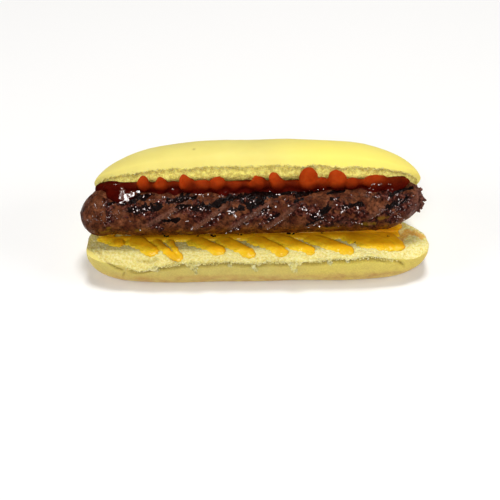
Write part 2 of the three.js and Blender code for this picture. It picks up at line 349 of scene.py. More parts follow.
def torn(x, seed):
    """Ragged run of a torn edge: broad bites with small teeth between them."""
    line = np.stack([x, 0 * x + seed, 0 * x], axis=-1)
    broad = noise_field(line, 7.0, 3.3) + 0.5 * noise_field(line, 2.6, 1.1)
    return broad + 0.45 * noise_field(line, 1.1, 8.2)


# Rows of the roll's mesh from lip to front edge, finest at both edges: start, end and number.
ROLL_ROWS = [
    (0, 0.02, 12), (0.02, 0.15, 22), (0.15, 0.3, 18), (0.3, 0.46, 10), (0.46, 0.7, 14),
    (0.7, 0.885, 24), (0.885, 0.97, 20), (0.97, 1.0, 22),
]


def bun_piece(material):
    """The roll: its crust and its cut faces, closed along their rim and then roughened."""
    along = even_stations(count=330, reach=74, depth=15, power=3.2)
    grid_along, grid_around = np.meshgrid(along, stepped(ROLL_ROWS), indexing="ij")
    bm = bmesh.new()
    crumb_layer = bm.verts.layers.float.new("crumb")
    around_layer = bm.verts.layers.float.new("around")
    skins = ((crust(grid_along, grid_around), 0.0), (cut_face(grid_along, grid_around), 1.0))
    for skin, value in skins:
        for vertex, a, w in zip(add_sheet(bm, skin), grid_along.ravel(), grid_around.ravel()):
            vertex[crumb_layer] = value * (abs(a) < 1)
            vertex[around_layer] = w
    close_up(bm, distance=0.0003)
    masks, points = shaped_bread(places(bm), facings(bm), **take_values(bm, ("crumb", "around")))
    put_back(bm, points)
    masks["toast"] = browning(points, masks["crumb"])
    return finish_piece(bm, "bun_bread", material, replaces="bun", masks=masks)


# Small brown spots on the crust: place and size.
SPOTS = [((-36.6, 11.4, 49.5), 0.7), ((-27.0, 6.0, 50.2), 0.6), ((41.0, 10.5, 49.8), 0.5)]


def outside_line(points, line):
    """How far each point lies to the left of a line on the plan, in mm; below 0 it is right."""
    line = np.array(line)
    nearest = np.full(len(points), 1e9)
    side = np.zeros(len(points))
    for a, b in zip(line[:-1, :2], line[1:, :2]):
        rel = points[:, :2] - a
        t = np.clip(rel @ (b - a) / ((b - a) @ (b - a)), 0, 1)
        away = np.linalg.norm(rel - t[:, None] * (b - a), axis=1)
        cross = (b - a)[0] * rel[:, 1] - (b - a)[1] * rel[:, 0]
        closer = away < nearest
        side = np.where(closer, np.sign(cross), side)
        nearest = np.minimum(nearest, away)
    return side * nearest


# Where crumb turns into crust at the ends of the base half, seen from above. The crust lies to
# the left of each line's run.
LEFT_CRUST_LINE = [
    (-57.0, -30.6), (-61.0, -29.2), (-64.5, -27.6), (-68.1, -24.6), (-70.9, -21.6),
    (-73.9, -18.0), (-79.0, -15.5),
]
RIGHT_CRUST_LINE = [
    (79.0, -15.5), (75.2, -18.0), (72.6, -21.6), (69.8, -24.6), (64.5, -28.2), (55.0, -30.5),
]

# Where mustard has soaked into the crumb at the right end, seen from above.
SOAKED = [(60.5, -16.5, 0), (64.0, -12.2, 0), (66.2, -8.8, 0), (69.6, -9.6, 0), (72.3, -12.2, 0)]


def wall_bulge(around):
    """How far the torn face of the top half leans forward under its lip."""
    return ROLL["wall_bulge"] * smoothstep(around, 0.0, 0.07) * (1 - smoothstep(around, 0.10, 0.20))


def shaped_bread(points, normals, crumb, around):
    """The roll with its torn edges, folds and pores; also says where it is open crumb."""
    x = points[:, 0]
    is_base = smoothstep(around, 0.5, 0.6)
    front = smoothstep(around, 0.8, 0.9)
    open_front = smoothstep(x, -57, -52) * (1 - smoothstep(x, 52, 58))
    ragged, frayed = torn(x, 1.0), torn(x, 6.0)

    # Open crumb covers the cut faces and laps a little over both edges, and crust covers the ends.
    wander = 0.8 * noise_field(points, 2.2, 4.4)
    beyond = np.maximum(outside_line(points, LEFT_CRUST_LINE),
                        outside_line(points, RIGHT_CRUST_LINE))
    rounded = smoothstep(beyond + wander, -0.5, 0.9) * is_base
    open_crumb = np.maximum(crumb * (1 - rounded), smoothstep(around, 0.990, 0.995) * open_front)
    frayed_lip = 1 - smoothstep(around + 0.003 * frayed, 0.003, 0.007)
    open_crumb = np.maximum(open_crumb, frayed_lip * (1 - is_base))

    # The crumb is rough and full of pores, the crust has soft waves and is flat where it rests.
    grain = 0.5 * noise_field(points, 1.5, 3.1) + 0.5 * noise_field(points, 0.8, 9.4)
    pores = cell_pits(points, 2.1, 5.0)
    broad = noise_field(points, 9.0, 1.7)
    crumb_relief = 0.45 * grain + 0.3 * broad - 0.35 * pores ** 1.5
    skin_wave = 0.22 * noise_field(points, 15.0, 7.7) + 0.04 * noise_field(points, 3.0, 2.2)
    resting = smoothstep(points[:, 2], 0.0, 1.5)
    relief = lerp(skin_wave * resting, crumb_relief, open_crumb)

    # Creases are grooves with a soft ridge beside them, and a hollow runs under the torn edge.
    left = distance_to_line(points, LEFT_CREASE)
    crack = distance_to_line(points, LEFT_CRACK)
    fold = distance_to_line(points, CRUMB_FOLD)
    right = distance_to_line(points, RIGHT_CREASE)
    relief += -0.6 * bump(left, 0, 0.5) + 0.35 * bump(left, 1.5, 1.0) - 0.8 * bump(crack, 0, 0.5)
    relief += -0.7 * bump(fold, 0, 0.7) + 0.3 * bump(fold, 1.6, 1.0)
    relief += -0.8 * bump(right, 0, 0.6) + 0.3 * bump(right, 1.5, 1.0)
    slot = smoothstep(around, 0.972, 0.984) * (1 - smoothstep(around, 0.990, 0.995))
    relief += -1.3 * slot * (1 - crumb) * open_front * (1 + 0.4 * frayed)
    points = points + normals * relief[:, None]

    # The front edge is torn and hangs in teeth; the upper face leans out under a frayed lip.
    start = lerp(0.991, 0.965, crumb)
    at_edge = np.clip((around - start) / (1 - start), 0, 1) * front * open_front
    out, hang = teeth(x)
    points[:, 1] -= at_edge * (0.4 + 0.6 * ragged + out)
    points[:, 2] -= at_edge ** 1.5 * (0.6 * np.maximum(ragged, -0.35) + hang)
    points[:, 1] -= wall_bulge(around) * crumb * (1 - is_base) * (1 - smoothstep(np.abs(x), 63, 69))
    fray_depth = lerp(0.007, 0.02, crumb)
    at_lip = np.clip(1 - around / fray_depth, 0, 1) * (1 - is_base)
    tufts = frayed + 0.6 * noise_field(points, 0.9, 2.9)
    points[:, 1] -= at_lip * (0.35 + 0.6 * tufts)
    points[:, 2] -= at_lip * (0.1 + 0.6 * tufts)
    points[:, 2] = np.maximum(0.0, points[:, 2])

    # Masks for the material: painted shade in the creases, the crack, the crumb fold, under the
    # torn edge and over the front wall, with real brown spots; the upper face; and soaked-in
    # mustard.
    crease_shade_and_spots = bump(left, 0, 0.42) + 0.9 * bump(crack, 0, 0.4) + 0.6 * bump(fold, 0, 0.5)
    crease_shade_and_spots = crease_shade_and_spots + bump(right, 0, 0.45)
    shade_under_edge = smoothstep(around, 0.974, 0.986) * (1 - smoothstep(around, 0.991, 0.996))
    crease_shade_and_spots += 0.85 * (shade_under_edge * (1 - crumb)) * open_front
    front_wall_shade = (is_base * (1 - crumb) * smoothstep(-points[:, 1], 20, 26)
            * smoothstep(points[:, 2], 1, 6))
    crease_shade_and_spots += 0.55 * front_wall_shade * (1 - open_crumb)
    for spot, size in SPOTS:
        crease_shade_and_spots += 1.2 * bump(np.linalg.norm(points - np.array(spot), axis=1), 0, size)
    lip = (1 - is_base) * open_crumb
    soaked = bump(distance_to_line(points * np.array([1, 1, 0]), SOAKED), 0, 2.0) * crumb * is_base
    soaked = smoothstep(soaked + 0.5 * noise_field(points, 1.6, 7.0), 0.35, 0.8)
    masks = {"crumb": open_crumb, "fold": np.clip(0.8 * crease_shade_and_spots, 0, 1), "lip": lip, "soaked": soaked}
    return masks, points


def browning(points, crumb):
    """How baked the crust is: pale on top and at the waist, toasted low down and at the ends."""
    x, y, z = points.T
    patchy = 0.3 * noise_field(points, 10.0, 1.7) + 0.18 * noise_field(points, 3.2, 5.0)
    low = 1.2 * smoothstep(-z, -11.0, -5.0) * smoothstep(-y, 0, 14)
    base_end = smoothstep(np.abs(x + 1.5), 62, 76) * (1 - smoothstep(z, 22, 27))
    top_end = smoothstep(np.abs(x - 1.0), 56, 72) * smoothstep(z, 22, 27)
    back = smoothstep(y, 16, 27)
    base_end *= 0.25 + 0.75 * smoothstep(y, -14, -2)
    toast = 0.22 * smoothstep(-z, -16, -12) * smoothstep(-y, 0, 14) + 1.05 * low
    toast += 0.85 * base_end + 0.12 * top_end + 0.65 * back
    return np.clip(toast * (1 + patchy) + 0.1 * patchy, 0, 1) * (1 - crumb)


# Shreds of crumb that hang from the front edge: x, y, z of the root, length, width.
SHREDS = [
    (-28.3, -29.2, 14.0, 4.4, 2.2), (-2.2, -29.0, 14.0, 3.4, 1.6), (14.8, -29.2, 14.4, 6.6, 1.9),
    (-12.6, -28.6, 14.6, 1.6, 1.2), (-44.4, -28.6, 12.4, 2.2, 2.2), (30.4, -28.6, 15.4, 1.6, 1.2),
    (38.0, -28.2, 16.0, 1.4, 1.0),
]


def add_grain(bm, rng, place, size, stretch=1.0, subdivisions=1):
    """One small torn lump of crumb, turned at random."""
    made = bmesh.ops.create_icosphere(bm, subdivisions=subdivisions, radius=1.0)["verts"]
    for vertex in made:
        vertex.co *= 0.75 + 0.5 * rng.random()
    turn = Matrix.Rotation(rng.uniform(0, 6.28), 3, Vector(rng.normal(size=3)).normalized())
    width, height = size * rng.uniform(0.6, 1.0), size * rng.uniform(0.5, 0.9)
    bmesh.ops.scale(bm, verts=made, vec=(size, width, height))
    bmesh.ops.rotate(bm, verts=made, cent=(0, 0, 0), matrix=turn)
    bmesh.ops.scale(bm, verts=made, vec=(1.0, 1.0, stretch))
    bmesh.ops.translate(bm, verts=made, vec=place)


def crumb_masks(lip):
    """The bread's masks for a piece that is all open crumb."""
    return {"crumb": 1.0, "toast": 0.0, "fold": 0.0, "lip": lip, "soaked": 0.0}


def shreds_piece(material):
    """Shreds of crumb under the front edge, each a tapering bunch of grains."""
    rng = np.random.default_rng(12)
    bm = bmesh.new()
    for x, y, z, length, width in SHREDS:
        for _ in range(int(9 + length * 5)):
            down = rng.random() ** 0.8
            spread = width * (1 - 0.75 * down)
            place = (x + rng.normal() * spread * 0.45 + 0.3 * down * length,
                     y + 0.5 - 0.4 * rng.random(), z + 0.4 - down * length)
            add_grain(bm, rng, place, rng.uniform(0.4, 0.85), stretch=rng.uniform(1.0, 1.8),
                      subdivisions=2)
    return finish_piece(bm, "crumb_shreds", material, masks=crumb_masks(0.0))


def rim_points(rng, count, around, left, right):
    """Random places along one edge of the cut face, between two x, at most count of them."""
    along = rng.uniform(-0.97, 0.97, count * 2)
    rim = cut_face(along, np.full(len(along), around))
    inside = (rim[:, 0] > left) & (rim[:, 0] < right)
    return rim[inside][:count]


def fringe_piece(material):
    """Loose grains along the torn edges of both halves."""
    rng = np.random.default_rng(5)
    bm = bmesh.new()
    for x, y, z in rim_points(rng, count=420, around=1.0, left=-58, right=60):
        ragged = float(torn(np.array([x]), 1.0)[0])
        place = (x, y - 0.35 - 0.5 * ragged + rng.uniform(-0.3, 0.5),
                 z - 0.35 - 0.7 * abs(ragged) + rng.normal() * 0.35)
        add_grain(bm, rng, place, rng.uniform(0.18, 0.5))
    low_count = len(bm.verts)
    for x, y, z in rim_points(rng, count=620, around=0.0, left=-66, right=66):
        frayed = float(torn(np.array([x]), 6.0)[0])
        place = (x, y - 0.25 - 0.35 * frayed + rng.uniform(-0.2, 0.4),
                 z - 0.25 - 0.5 * frayed + rng.normal() * 0.55)
        add_grain(bm, rng, place, rng.uniform(0.15, 0.36))
    upper = (np.arange(len(bm.verts)) >= low_count) * 0.25
    return finish_piece(bm, "torn_edge_crumbs", material, masks=crumb_masks(upper))


# ---------------------------------------------------------------- the sausage

# Slashes, as thin seams over the front of the sausage: start x, start angle, end x, end angle
# and depth; an angle is in degrees above the side that faces the front.
SEAMS = [
    (-58.5, 36, -52.5, 60, 0.5), (-48.3, 7.5, -29.6, 68, 1.0), (-28.5, -6.5, -12.8, 61, 1.0),
    (-13.2, -6.2, 6.0, 64, 1.0), (2.2, -10.5, 16.0, 52, 0.9), (19.6, -8, 28.4, 24, 0.8),
    (24.0, 30, 33.5, 58, 0.3), (45.9, 15, 56.0, 50, 0.7), (33.0, -4, 39.0, 18, 0.3),
]

# Charred places: start x, start angle, end x, end angle, half-width in mm.
CHARS = [
    (-56.5, 72, -47, 87, 2.2), (-53, 48, -41, 57, 2.0), (-37.5, 72, -27.5, 82, 2.2),
    (-34, 56, -29, 58, 1.2), (-27.5, 51, -17.5, 60, 2.0), (-17, 66, -8, 82, 1.8),
    (-7, 84, 3.5, 96, 2.6), (-10, 44, 1.5, 64, 2.0), (-4, 66, 6, 78, 2.2), (4, 84, 14, 88, 1.5),
    (-63, 70, -58, 78, 1.3), (17, 84, 25, 96, 2.2), (24.5, 26, 28.8, 42, 1.8),
    (20.5, 0, 28, 24, 0.7), (37, 46, 43, 52, 1.3), (56, 44, 63, 60, 1.8), (57, 78, 64, 90, 2.0),
    (15.5, 62, 18.5, 68, 0.8), (31, 66, 34, 70, 0.8), (5, 20, 9, 32, 0.9),
    (-40, 20, -34, 26, 0.9), (29, 82, 36, 90, 1.2), (2, 40, 5, 48, 1.0),
]

# Wet dark-red patches with fine burnt specks, given like the charred ones.
DARKS = [
    (-64.4, 79.0, -63.1, 26.0, 1.8), (-55.0, 60.0, -43.3, 30.0, 2.6),
    (-45.9, 14.0, -41.0, -2.0, 1.3), (-33.1, 58.0, -25.6, 30.0, 2.2),
    (-25.9, 62.0, -21.7, 40.0, 2.2), (-13.6, 96.0, 1.5, 54.0, 2.6), (0.2, 37.0, 6.1, 24.0, 1.8),
    (16.3, 49.0, 25.2, 23.0, 2.6), (23.1, 36.0, 29.6, 6.0, 2.6), (35.0, 51.0, 43.9, 28.0, 2.6),
    (50.3, 96.0, 64.2, 48.0, 4.0), (29.5, 25.0, 49.4, -10.0, 2.2), (55.7, 33.0, 62.4, 4.0, 2.2),
    (-9.1, 15.0, -1.5, 40.0, 1.5), (7.4, 29.0, 1.5, 8.0, 1.3), (-22.3, 5.0, -15.4, 32.0, 1.3),
    (-58.4, 68.0, -51.6, 57.0, 1.3), (-41.5, 66.0, -35.2, 76.0, 1.3),
    (13.5, 84.0, 30.8, 102.0, 1.3), (-12.2, -22.0, -9.6, -8.0, 1.1),
]

# Smears of mustard on the low side: x, angle, half-length and half-width in mm.
SMEARS = [
    (-63.9, 1.0, 1.3, 0.7), (-50.9, -8.0, 1.3, 0.9), (-65.8, -11.0, 2.6, 0.7),
    (-29.3, -23.0, 1.8, 0.7), (-34.3, -11.0, 0.9, 0.4), (53.7, 15.0, 3.1, 0.9),
    (47.6, -2.0, 4.0, 0.9), (59.8, -14.0, 1.3, 0.7), (30.6, -14.0, 4.4, 0.7),
]


def sausage_centre(x):
    """The y and z of the sausage's axis: it sags slightly in the middle."""
    share = x / 150
    return -8.9 + share * 1.4, 28.3 + share * 0.8 + 2.6 * share ** 2


def sausage_fullness(x):
    """The sausage's thickness along it: 1 in the middle and 0 at both round ends."""
    left = superellipse(np.clip((SAUSAGE["left"] + 9 - x) / 9, 0, 1), 2.3)
    right = superellipse(np.clip((x - SAUSAGE["right"] + 6) / 6, 0, 1), 2.6)
    return np.minimum(left, right) * (1 - 0.05 * bump(x, -60, 5))


def off_stroke(x, arc, start, start_angle, end, end_angle):
    """Distance beside a stroke on the skin, and how far past its ends, both in mm."""
    per_degree = math.radians(1) * SAUSAGE["radius"]
    a = np.array([start, start_angle * per_degree])
    b = np.array([end, end_angle * per_degree])
    length = np.linalg.norm(b - a)
    along = ((x - a[0]) * (b - a)[0] + (arc - a[1]) * (b - a)[1]) / length
    beside = ((x - a[0]) * (b - a)[1] - (arc - a[1]) * (b - a)[0]) / length
    return beside, np.maximum(-along, along - length)


def seam_relief(x, arc, ragged, fine):
    """A raised rib with a burnt groove on its lower side along every slash."""
    relief, seam, groove = np.zeros_like(x), np.zeros_like(x), np.zeros_like(x)
    for *stroke, depth in SEAMS:
        beside, past = off_stroke(x, arc, *stroke)
        beside = beside + 0.3 * ragged
        here = depth * (1 - smoothstep(past, -3.0, 1.0))
        rib = np.exp(-(beside / 1.05) ** 4)
        relief += here * (0.55 * rib - 0.45 * bump(beside, 1.9, 0.8)
                          - 0.25 * bump(beside, -1.9, 0.8))
        relief += here * 0.25 * rib * fine
        seam = np.maximum(seam, here * rib)
        groove = np.maximum(groove, here * (bump(beside, 2.1, 0.9) + 0.5 * bump(beside, -1.9, 0.6)))
    return relief, np.clip(seam, 0, 1), np.clip(groove, 0, 1)


def patches(x, arc, strokes):
    """How near each place is to a list of strokes: 1 on them, falling to 0 around them."""
    near = np.zeros_like(x)
    for *stroke, half_width in strokes:
        beside, past = off_stroke(x, arc, *stroke)
        away = np.hypot(beside / half_width, np.maximum(0, past) / (half_width * 1.3))
        near = np.maximum(near, np.exp(-away ** 2))
    return near


def sausage_surface(x, turn):
    """Places on the skin at an x and a turn about the axis, and the value of each mask there."""
    arc = turn * SAUSAGE["radius"]
    full = sausage_fullness(x)
    centre_y, centre_z = sausage_centre(x)
    skin = np.stack([x, -np.cos(turn) * 10 * full, np.sin(turn) * 10 * full], axis=-1)
    ragged = noise_field(skin, 2.2, 6.0)
    fine = noise_field(skin, 0.85, 8.0)
    blister = noise_field(skin, 2.6, 2.0, octaves=3)
    broad = noise_field(skin, 8.0, 12.0)

    # Ribs along the slashes, burnt places and dark wet patches, all fading at the torn end.
    seams, seam, groove = seam_relief(x, arc, ragged, fine)
    char = patches(x, arc, CHARS) + 0.45 * blister + 0.3 * ragged + 0.3 * fine
    char = smoothstep(char, 0.42, 0.76)
    dark = patches(x, arc, DARKS) + 0.35 * groove
    dark = smoothstep(1.15 * dark + 0.5 * blister + 0.35 * ragged + 0.3 * fine, 0.22, 0.72)
    last = smoothstep(x, SAUSAGE["right"] - 8, SAUSAGE["right"])
    char, dark = char * (1 - 0.8 * last), dark * (1 - 0.7 * last)

    # Relief: blisters and lumps, rough at both ends, with a shallow waist near the left end.
    front = smoothstep(np.cos(turn) + 0.8 * np.sin(turn), -0.6, 0.4)
    relief = seams + 0.08 * fine + 0.22 * blister + 0.38 * broad - 0.15 * char + 0.2 * char * fine
    relief += dark * (0.16 * fine + 0.14 * blister - 0.1)
    first = smoothstep(-x, -SAUSAGE["left"] - 13, -SAUSAGE["left"] - 2)
    relief += last * (0.9 * ragged + 0.5 * fine) + first * (0.35 * ragged + 0.3 * fine)
    relief -= 0.5 * bump(x + 2 * np.sin(turn * 2) + 1.6 * ragged, -63.4, 2.4) * front
    radius = np.where(full > 0, (SAUSAGE["radius"] + relief * np.minimum(1, full * 1.2)) * full, 0)

    # Both ends slant: low down the right end reaches less far, and the left end is drawn in on top.
    low = (1 - np.sin(turn)) * radius / SAUSAGE["radius"]
    tail = smoothstep(x, SAUSAGE["right"] - SAUSAGE["torn_length"], SAUSAGE["right"])
    slanted = x - SAUSAGE["torn_slant"] * low * tail - 0.7 * last * (1 + ragged + fine)
    first_end = smoothstep(-x, -SAUSAGE["left"] - 16, -SAUSAGE["left"])
    slanted += 1.8 * (1 + np.sin(turn)) * first_end * radius / SAUSAGE["radius"]
    points = np.stack([slanted, centre_y - np.cos(turn) * radius, centre_z + np.sin(turn) * radius],
                      axis=-1)

    # Smears of mustard low down on the front, and a warmer underside: grease, and painted warm
    # light bounced up from the mustard and bread.
    smear = np.zeros_like(x)
    for at_x, angle, long, wide in SMEARS:
        away = np.hypot((x - at_x) / long, (arc - math.radians(angle) * SAUSAGE["radius"]) / wide)
        smear = np.maximum(smear, 1 - smoothstep(away + 0.6 * ragged + 0.4 * fine, 0.5, 1.5))
    grease_and_bounce = smoothstep(-turn + 0.12 * broad, -0.25, 0.35) * smoothstep(turn, -2.6, -1.9)
    masks = {"char": char, "dark": dark, "seam": seam, "grease_and_bounce": grease_and_bounce, "torn": last,
             "smear": smear}
    return points, masks


def sausage_piece(material):
    """The sausage, as one sheet rolled up along its underside."""
    stations, around = 580, 170
    x = lerp(SAUSAGE["left"], SAUSAGE["right"], rounded_steps(stations))
    turn = lerp(-math.pi, math.pi, np.linspace(0, 1, around + 1))
    points, masks = sausage_surface(*np.meshgrid(x, turn, indexing="ij"))
    return sheet_piece("sausage_grilled", material, points, masks, "sausage")


def rounded_steps(count):
    """Steps from 0 to 1 that crowd together at both ends."""
    even = np.linspace(0, 1, count + 1)
    crowded = 0.5 - 0.5 * np.cos(np.pi * even)
    return 0.86 * even + 0.14 * crowded


def sheet_piece(name, material, points, masks, replaces):
    """A piece made of one rolled sheet, with a value of each mask at every point of it."""
    bm = bmesh.new()
    layers = {key: bm.verts.layers.float.new(key) for key in masks}
    made = add_sheet(bm, points)
    for key, layer in layers.items():
        for vertex, value in zip(made, masks[key].ravel()):
            vertex[layer] = value
    close_up(bm)
    return finish_piece(bm, name, material, replaces, take_values(bm, masks))


def meat_masks(**values):
    """The meat's masks for a small piece: 0, apart from the ones that are given."""
    names = ("char", "dark", "seam", "grease_and_bounce", "torn", "smear")
    return dict.fromkeys(names, 0.0) | values


# Torn shreds of meat at the right end: x, y, z and size.
MEAT_SHREDS = [
    (70.6, -12.4, 36.8, 1.0), (72.0, -12.8, 36.6, 0.6), (70.4, -8.0, 34.0, 1.1),
    (69.6, -11.2, 32.0, 1.0), (67.4, -13.4, 30.6, 1.0), (70.9, -6.4, 36.4, 1.0),
    (65.0, -14.4, 28.2, 1.0), (62.6, -15.0, 26.2, 0.9), (69.0, -7.2, 38.6, 0.7),
    (69.9, -9.4, 38.2, 0.8), (71.0, -11.6, 36.6, 1.0), (71.2, -12.0, 35.2, 1.1),
    (71.4, -12.3, 33.8, 1.1), (71.0, -12.6, 32.4, 1.1), (70.0, -13.0, 31.2, 1.0),
]


def meat_shreds_piece(material):
    """Ragged shreds of meat round the sausage's torn end."""
    rng = np.random.default_rng(31)
    bm = bmesh.new()
    for x, y, z, size in MEAT_SHREDS:
        for _ in range(7):
            place = (x - 1.4 + rng.normal() * 0.35, y + rng.normal() * 0.4, z + rng.normal() * 0.4)
            add_grain(bm, rng, place, size * rng.uniform(0.45, 0.8), subdivisions=2)
    masks = meat_masks(char=0.15, dark=0.3, torn=1.0)
    return finish_piece(bm, "meat_shreds", material, masks=masks)


# ---------------------------------------------------------------- sauces

def bead(path, widths, heights, around=20, steps=None, square=1.0):
    """The skin of a drop along a path: an oval section that closes in round tips.

    Below 1, square makes the section fuller at its corners."""
    path = np.array(path, float)
    total = np.sum(np.linalg.norm(np.diff(path, axis=0), axis=1))
    steps = steps or max(14, int(total / 0.7))
    t = 0.5 - 0.5 * np.cos(np.linspace(0, math.pi, steps + 1))
    line = smooth_line(path)
    middle = on_line(line, t)
    ahead = on_line(line, np.minimum(1, t + 0.01)) - on_line(line, np.maximum(0, t - 0.01))
    ahead /= np.linalg.norm(ahead, axis=1, keepdims=True)
    side = np.cross([0, 0, 1.0], ahead)
    side /= np.linalg.norm(side, axis=1, keepdims=True)
    up = np.cross(ahead, side)
    wide = np.interp(t, np.linspace(0, 1, len(widths)), widths)
    high = np.interp(t, np.linspace(0, 1, len(heights)), heights)
    tip = superellipse(np.clip(1 - np.minimum(t, 1 - t) * total / np.maximum(wide, 0.5), 0, 1), 2.0)
    turn = np.linspace(0, 2 * math.pi, around + 1)[None, :, None]
    across = np.sign(np.cos(turn)) * np.abs(np.cos(turn)) ** square
    upward = np.sign(np.sin(turn)) * np.abs(np.sin(turn)) ** square
    reach_side = (wide * tip)[:, None, None]
    reach_up = (high * tip)[:, None, None]
    outwards = side[:, None, :] * across * reach_side
    return middle[:, None, :] + outwards + up[:, None, :] * upward * reach_up


def height_of_cut(y):
    """Height of the base half's cut face, away from its edge."""
    lower = CUT_LINE[1][CUT_LINE[0] > 0.55]
    order = np.argsort(lower[:, 0])
    return np.interp(y, lower[order, 0], lower[order, 1])


def face_of_top(z):
    """How far back the cut face of the top half lies at a height."""
    upper = CUT_LINE[1][CUT_LINE[0] < 0.45]
    order = np.argsort(upper[:, 1])
    return np.interp(z, upper[order, 1], upper[order, 0])


def wall_of_top(z):
    """How far back the torn face of the top half lies at a height, where it leans forward."""
    place_per_mm = 0.0132
    return float(face_of_top(z) - wall_bulge((CUT_LINE[1][0, 1] - z) * place_per_mm))


def fused(bm, name, voxel, smooth_steps):
    """One skin round all the drops in the mesh, rounded where they run together."""
    mesh = bpy.data.meshes.new(name)
    bmesh.ops.scale(bm, verts=bm.verts, vec=(MM, MM, MM))
    bm.to_mesh(mesh)
    bm.free()
    rough = bpy.data.objects.new(name, mesh)
    bpy.context.scene.collection.objects.link(rough)
    remesh = rough.modifiers.new("one skin", "REMESH")
    remesh.mode = "VOXEL"
    remesh.voxel_size = voxel * MM
    smooth = rough.modifiers.new("round", "SMOOTH")
    smooth.factor = 0.5
    smooth.iterations = smooth_steps
    bpy.context.view_layer.update()
    whole = bpy.data.meshes.new_from_object(
        rough.evaluated_get(bpy.context.evaluated_depsgraph_get()))
    bpy.data.objects.remove(rough)
    bpy.data.meshes.remove(mesh)
    result = bmesh.new()
    result.from_mesh(whole)
    bpy.data.meshes.remove(whole)
    bmesh.ops.scale(result, verts=result.verts, vec=(1 / MM,) * 3)
    bmesh.ops.recalc_face_normals(result, faces=result.faces)
    result.normal_update()
    return result


# Mustard strokes: path of (x, y) on the cut face, half-widths and half-heights along it.
STROKES = [
    ([(-70.7, -10.2), (-66.6, -11.7), (-62.2, -12.9)], [2.6, 3.6, 4.4], [0.4, 0.6, 0.7]),
    ([(-64.9, -12.1), (-62.0, -14.9), (-60.4, -17.8)], [4.4, 4.0, 2.9], [0.7, 0.8, 0.6]),
    ([(-57.9, -11.6), (-51.0, -16.8), (-43.6, -23.1)], [6.2, 4.1, 3.0], [0.7, 0.9, 0.75]),
    ([(-46.0, -12.6), (-40.3, -20.7), (-33.0, -27.6)], [2.5, 1.9, 1.7], [0.6, 0.6, 0.35]),
    ([(-39.5, -12.0), (-36.5, -19.2), (-32.6, -27.2)], [1.8, 1.5, 1.4], [0.5, 0.55, 0.35]),
    ([(-31.1, -12.9), (-23.6, -17.5), (-14.6, -23.6)], [4.2, 3.8, 3.0], [0.55, 0.95, 0.85]),
    ([(-18.4, -12.8), (-11.4, -18.2), (-1.5, -25.0)], [4.2, 3.7, 2.9], [0.64, 0.96, 0.8]),
    ([(-4.8, -12.0), (2.5, -17.3), (12.3, -24.9)], [4.2, 3.8, 2.9], [0.64, 0.96, 0.8]),
    ([(6.2, -11.9), (13.8, -17.2), (24.4, -24.1)], [4.2, 3.9, 3.0], [0.64, 0.96, 0.88]),
    ([(19.8, -12.9), (29.1, -17.5), (41.0, -25.2)], [4.2, 4.0, 3.0], [0.64, 0.96, 0.8]),
    ([(36.9, -12.5), (46.9, -18.0), (55.6, -21.6)], [4.4, 4.8, 3.2], [0.64, 0.96, 0.7]),
    ([(49.2, -12.4), (56.6, -16.6), (62.8, -22.0)], [5.2, 5.6, 3.4], [0.72, 0.96, 0.8]),
    ([(43.0, -13.4), (51.0, -17.4), (59.4, -21.4)], [5.0, 5.2, 3.2], [0.72, 1.0, 0.8]),
    ([(-68, -11.8), (-40, -11.9), (0, -11.5), (40, -11.6), (63, -11.2)], [1.8, 2.4, 2.4, 2.4, 2.0],
     [0.72, 0.96, 0.96, 0.96, 0.72]),
]


def mustard_piece(material):
    """The mustard: strokes over the lower cut face, fused with a band under the sausage."""
    bm = bmesh.new()
    for path, widths, heights in STROKES:
        on_cut = [(x, y, float(height_of_cut(y)) - 0.15 + float(edge_fall(x, y)))
                  for x, y in path]
        add_sheet(bm, bead(on_cut, widths, [1.15 * h + 0.3 for h in heights]))
    back = [(-68, -7.2, 15.4), (-30, -7.2, 15.4), (10, -7.2, 15.4), (64, -7.2, 15.4)]
    wide, high = [2.2, 2.8, 2.8, 2.8, 2.2], [2.0, 3.0, 3.0, 3.0, 2.4]
    add_sheet(bm, bead(back, wide, high, around=24, steps=150))
    close_up(bm, distance=0.001)
    bm = fused(bm, "mustard_drops", voxel=0.34, smooth_steps=3)
    points, normals = places(bm), facings(bm)
    above = points[:, 2] - height_of_cut(points[:, 1]) - edge_fall(points[:, 0], points[:, 1])
    rim = 1 - smoothstep(above, 0.2, 1.3)
    wobble = 0.1 * noise_field(points, 3.0, 1.0) + 0.05 * noise_field(points, 1.3, 6.0)
    wobble += rim * (0.5 * noise_field(points, 2.4, 3.0) + 0.3 * noise_field(points, 0.9, 4.0))
    put_back(bm, points + normals * wobble[:, None])
    # Painted shade at the front ends of the strokes.
    tip = 0.6 * smoothstep(-points[:, 1] + 1.5 * noise_field(points, 4.0, 2.0), 19.0, 26.0)
    # The side of each stroke turned away from the front light gets painted shade.
    far = normals[:, 0] * 0.85 + normals[:, 1] * 0.5 + 0.15 * noise_field(points, 1.6, 9.0)
    thin = rim * (1 - smoothstep(far, -0.1, 0.3))
    shade = smoothstep(far, 0.25, 0.65)
    return finish_piece(bm, "mustard_strokes", material, replaces="mustard",
                        masks={"thin": thin, "tip": tip, "shade": shade})


def edge_fall(x, y):
    """How far the cut face rises or drops towards its front edge."""
    return edge_rise(x) * smoothstep(-y, 20.0, 28.4) + front_lift(y)


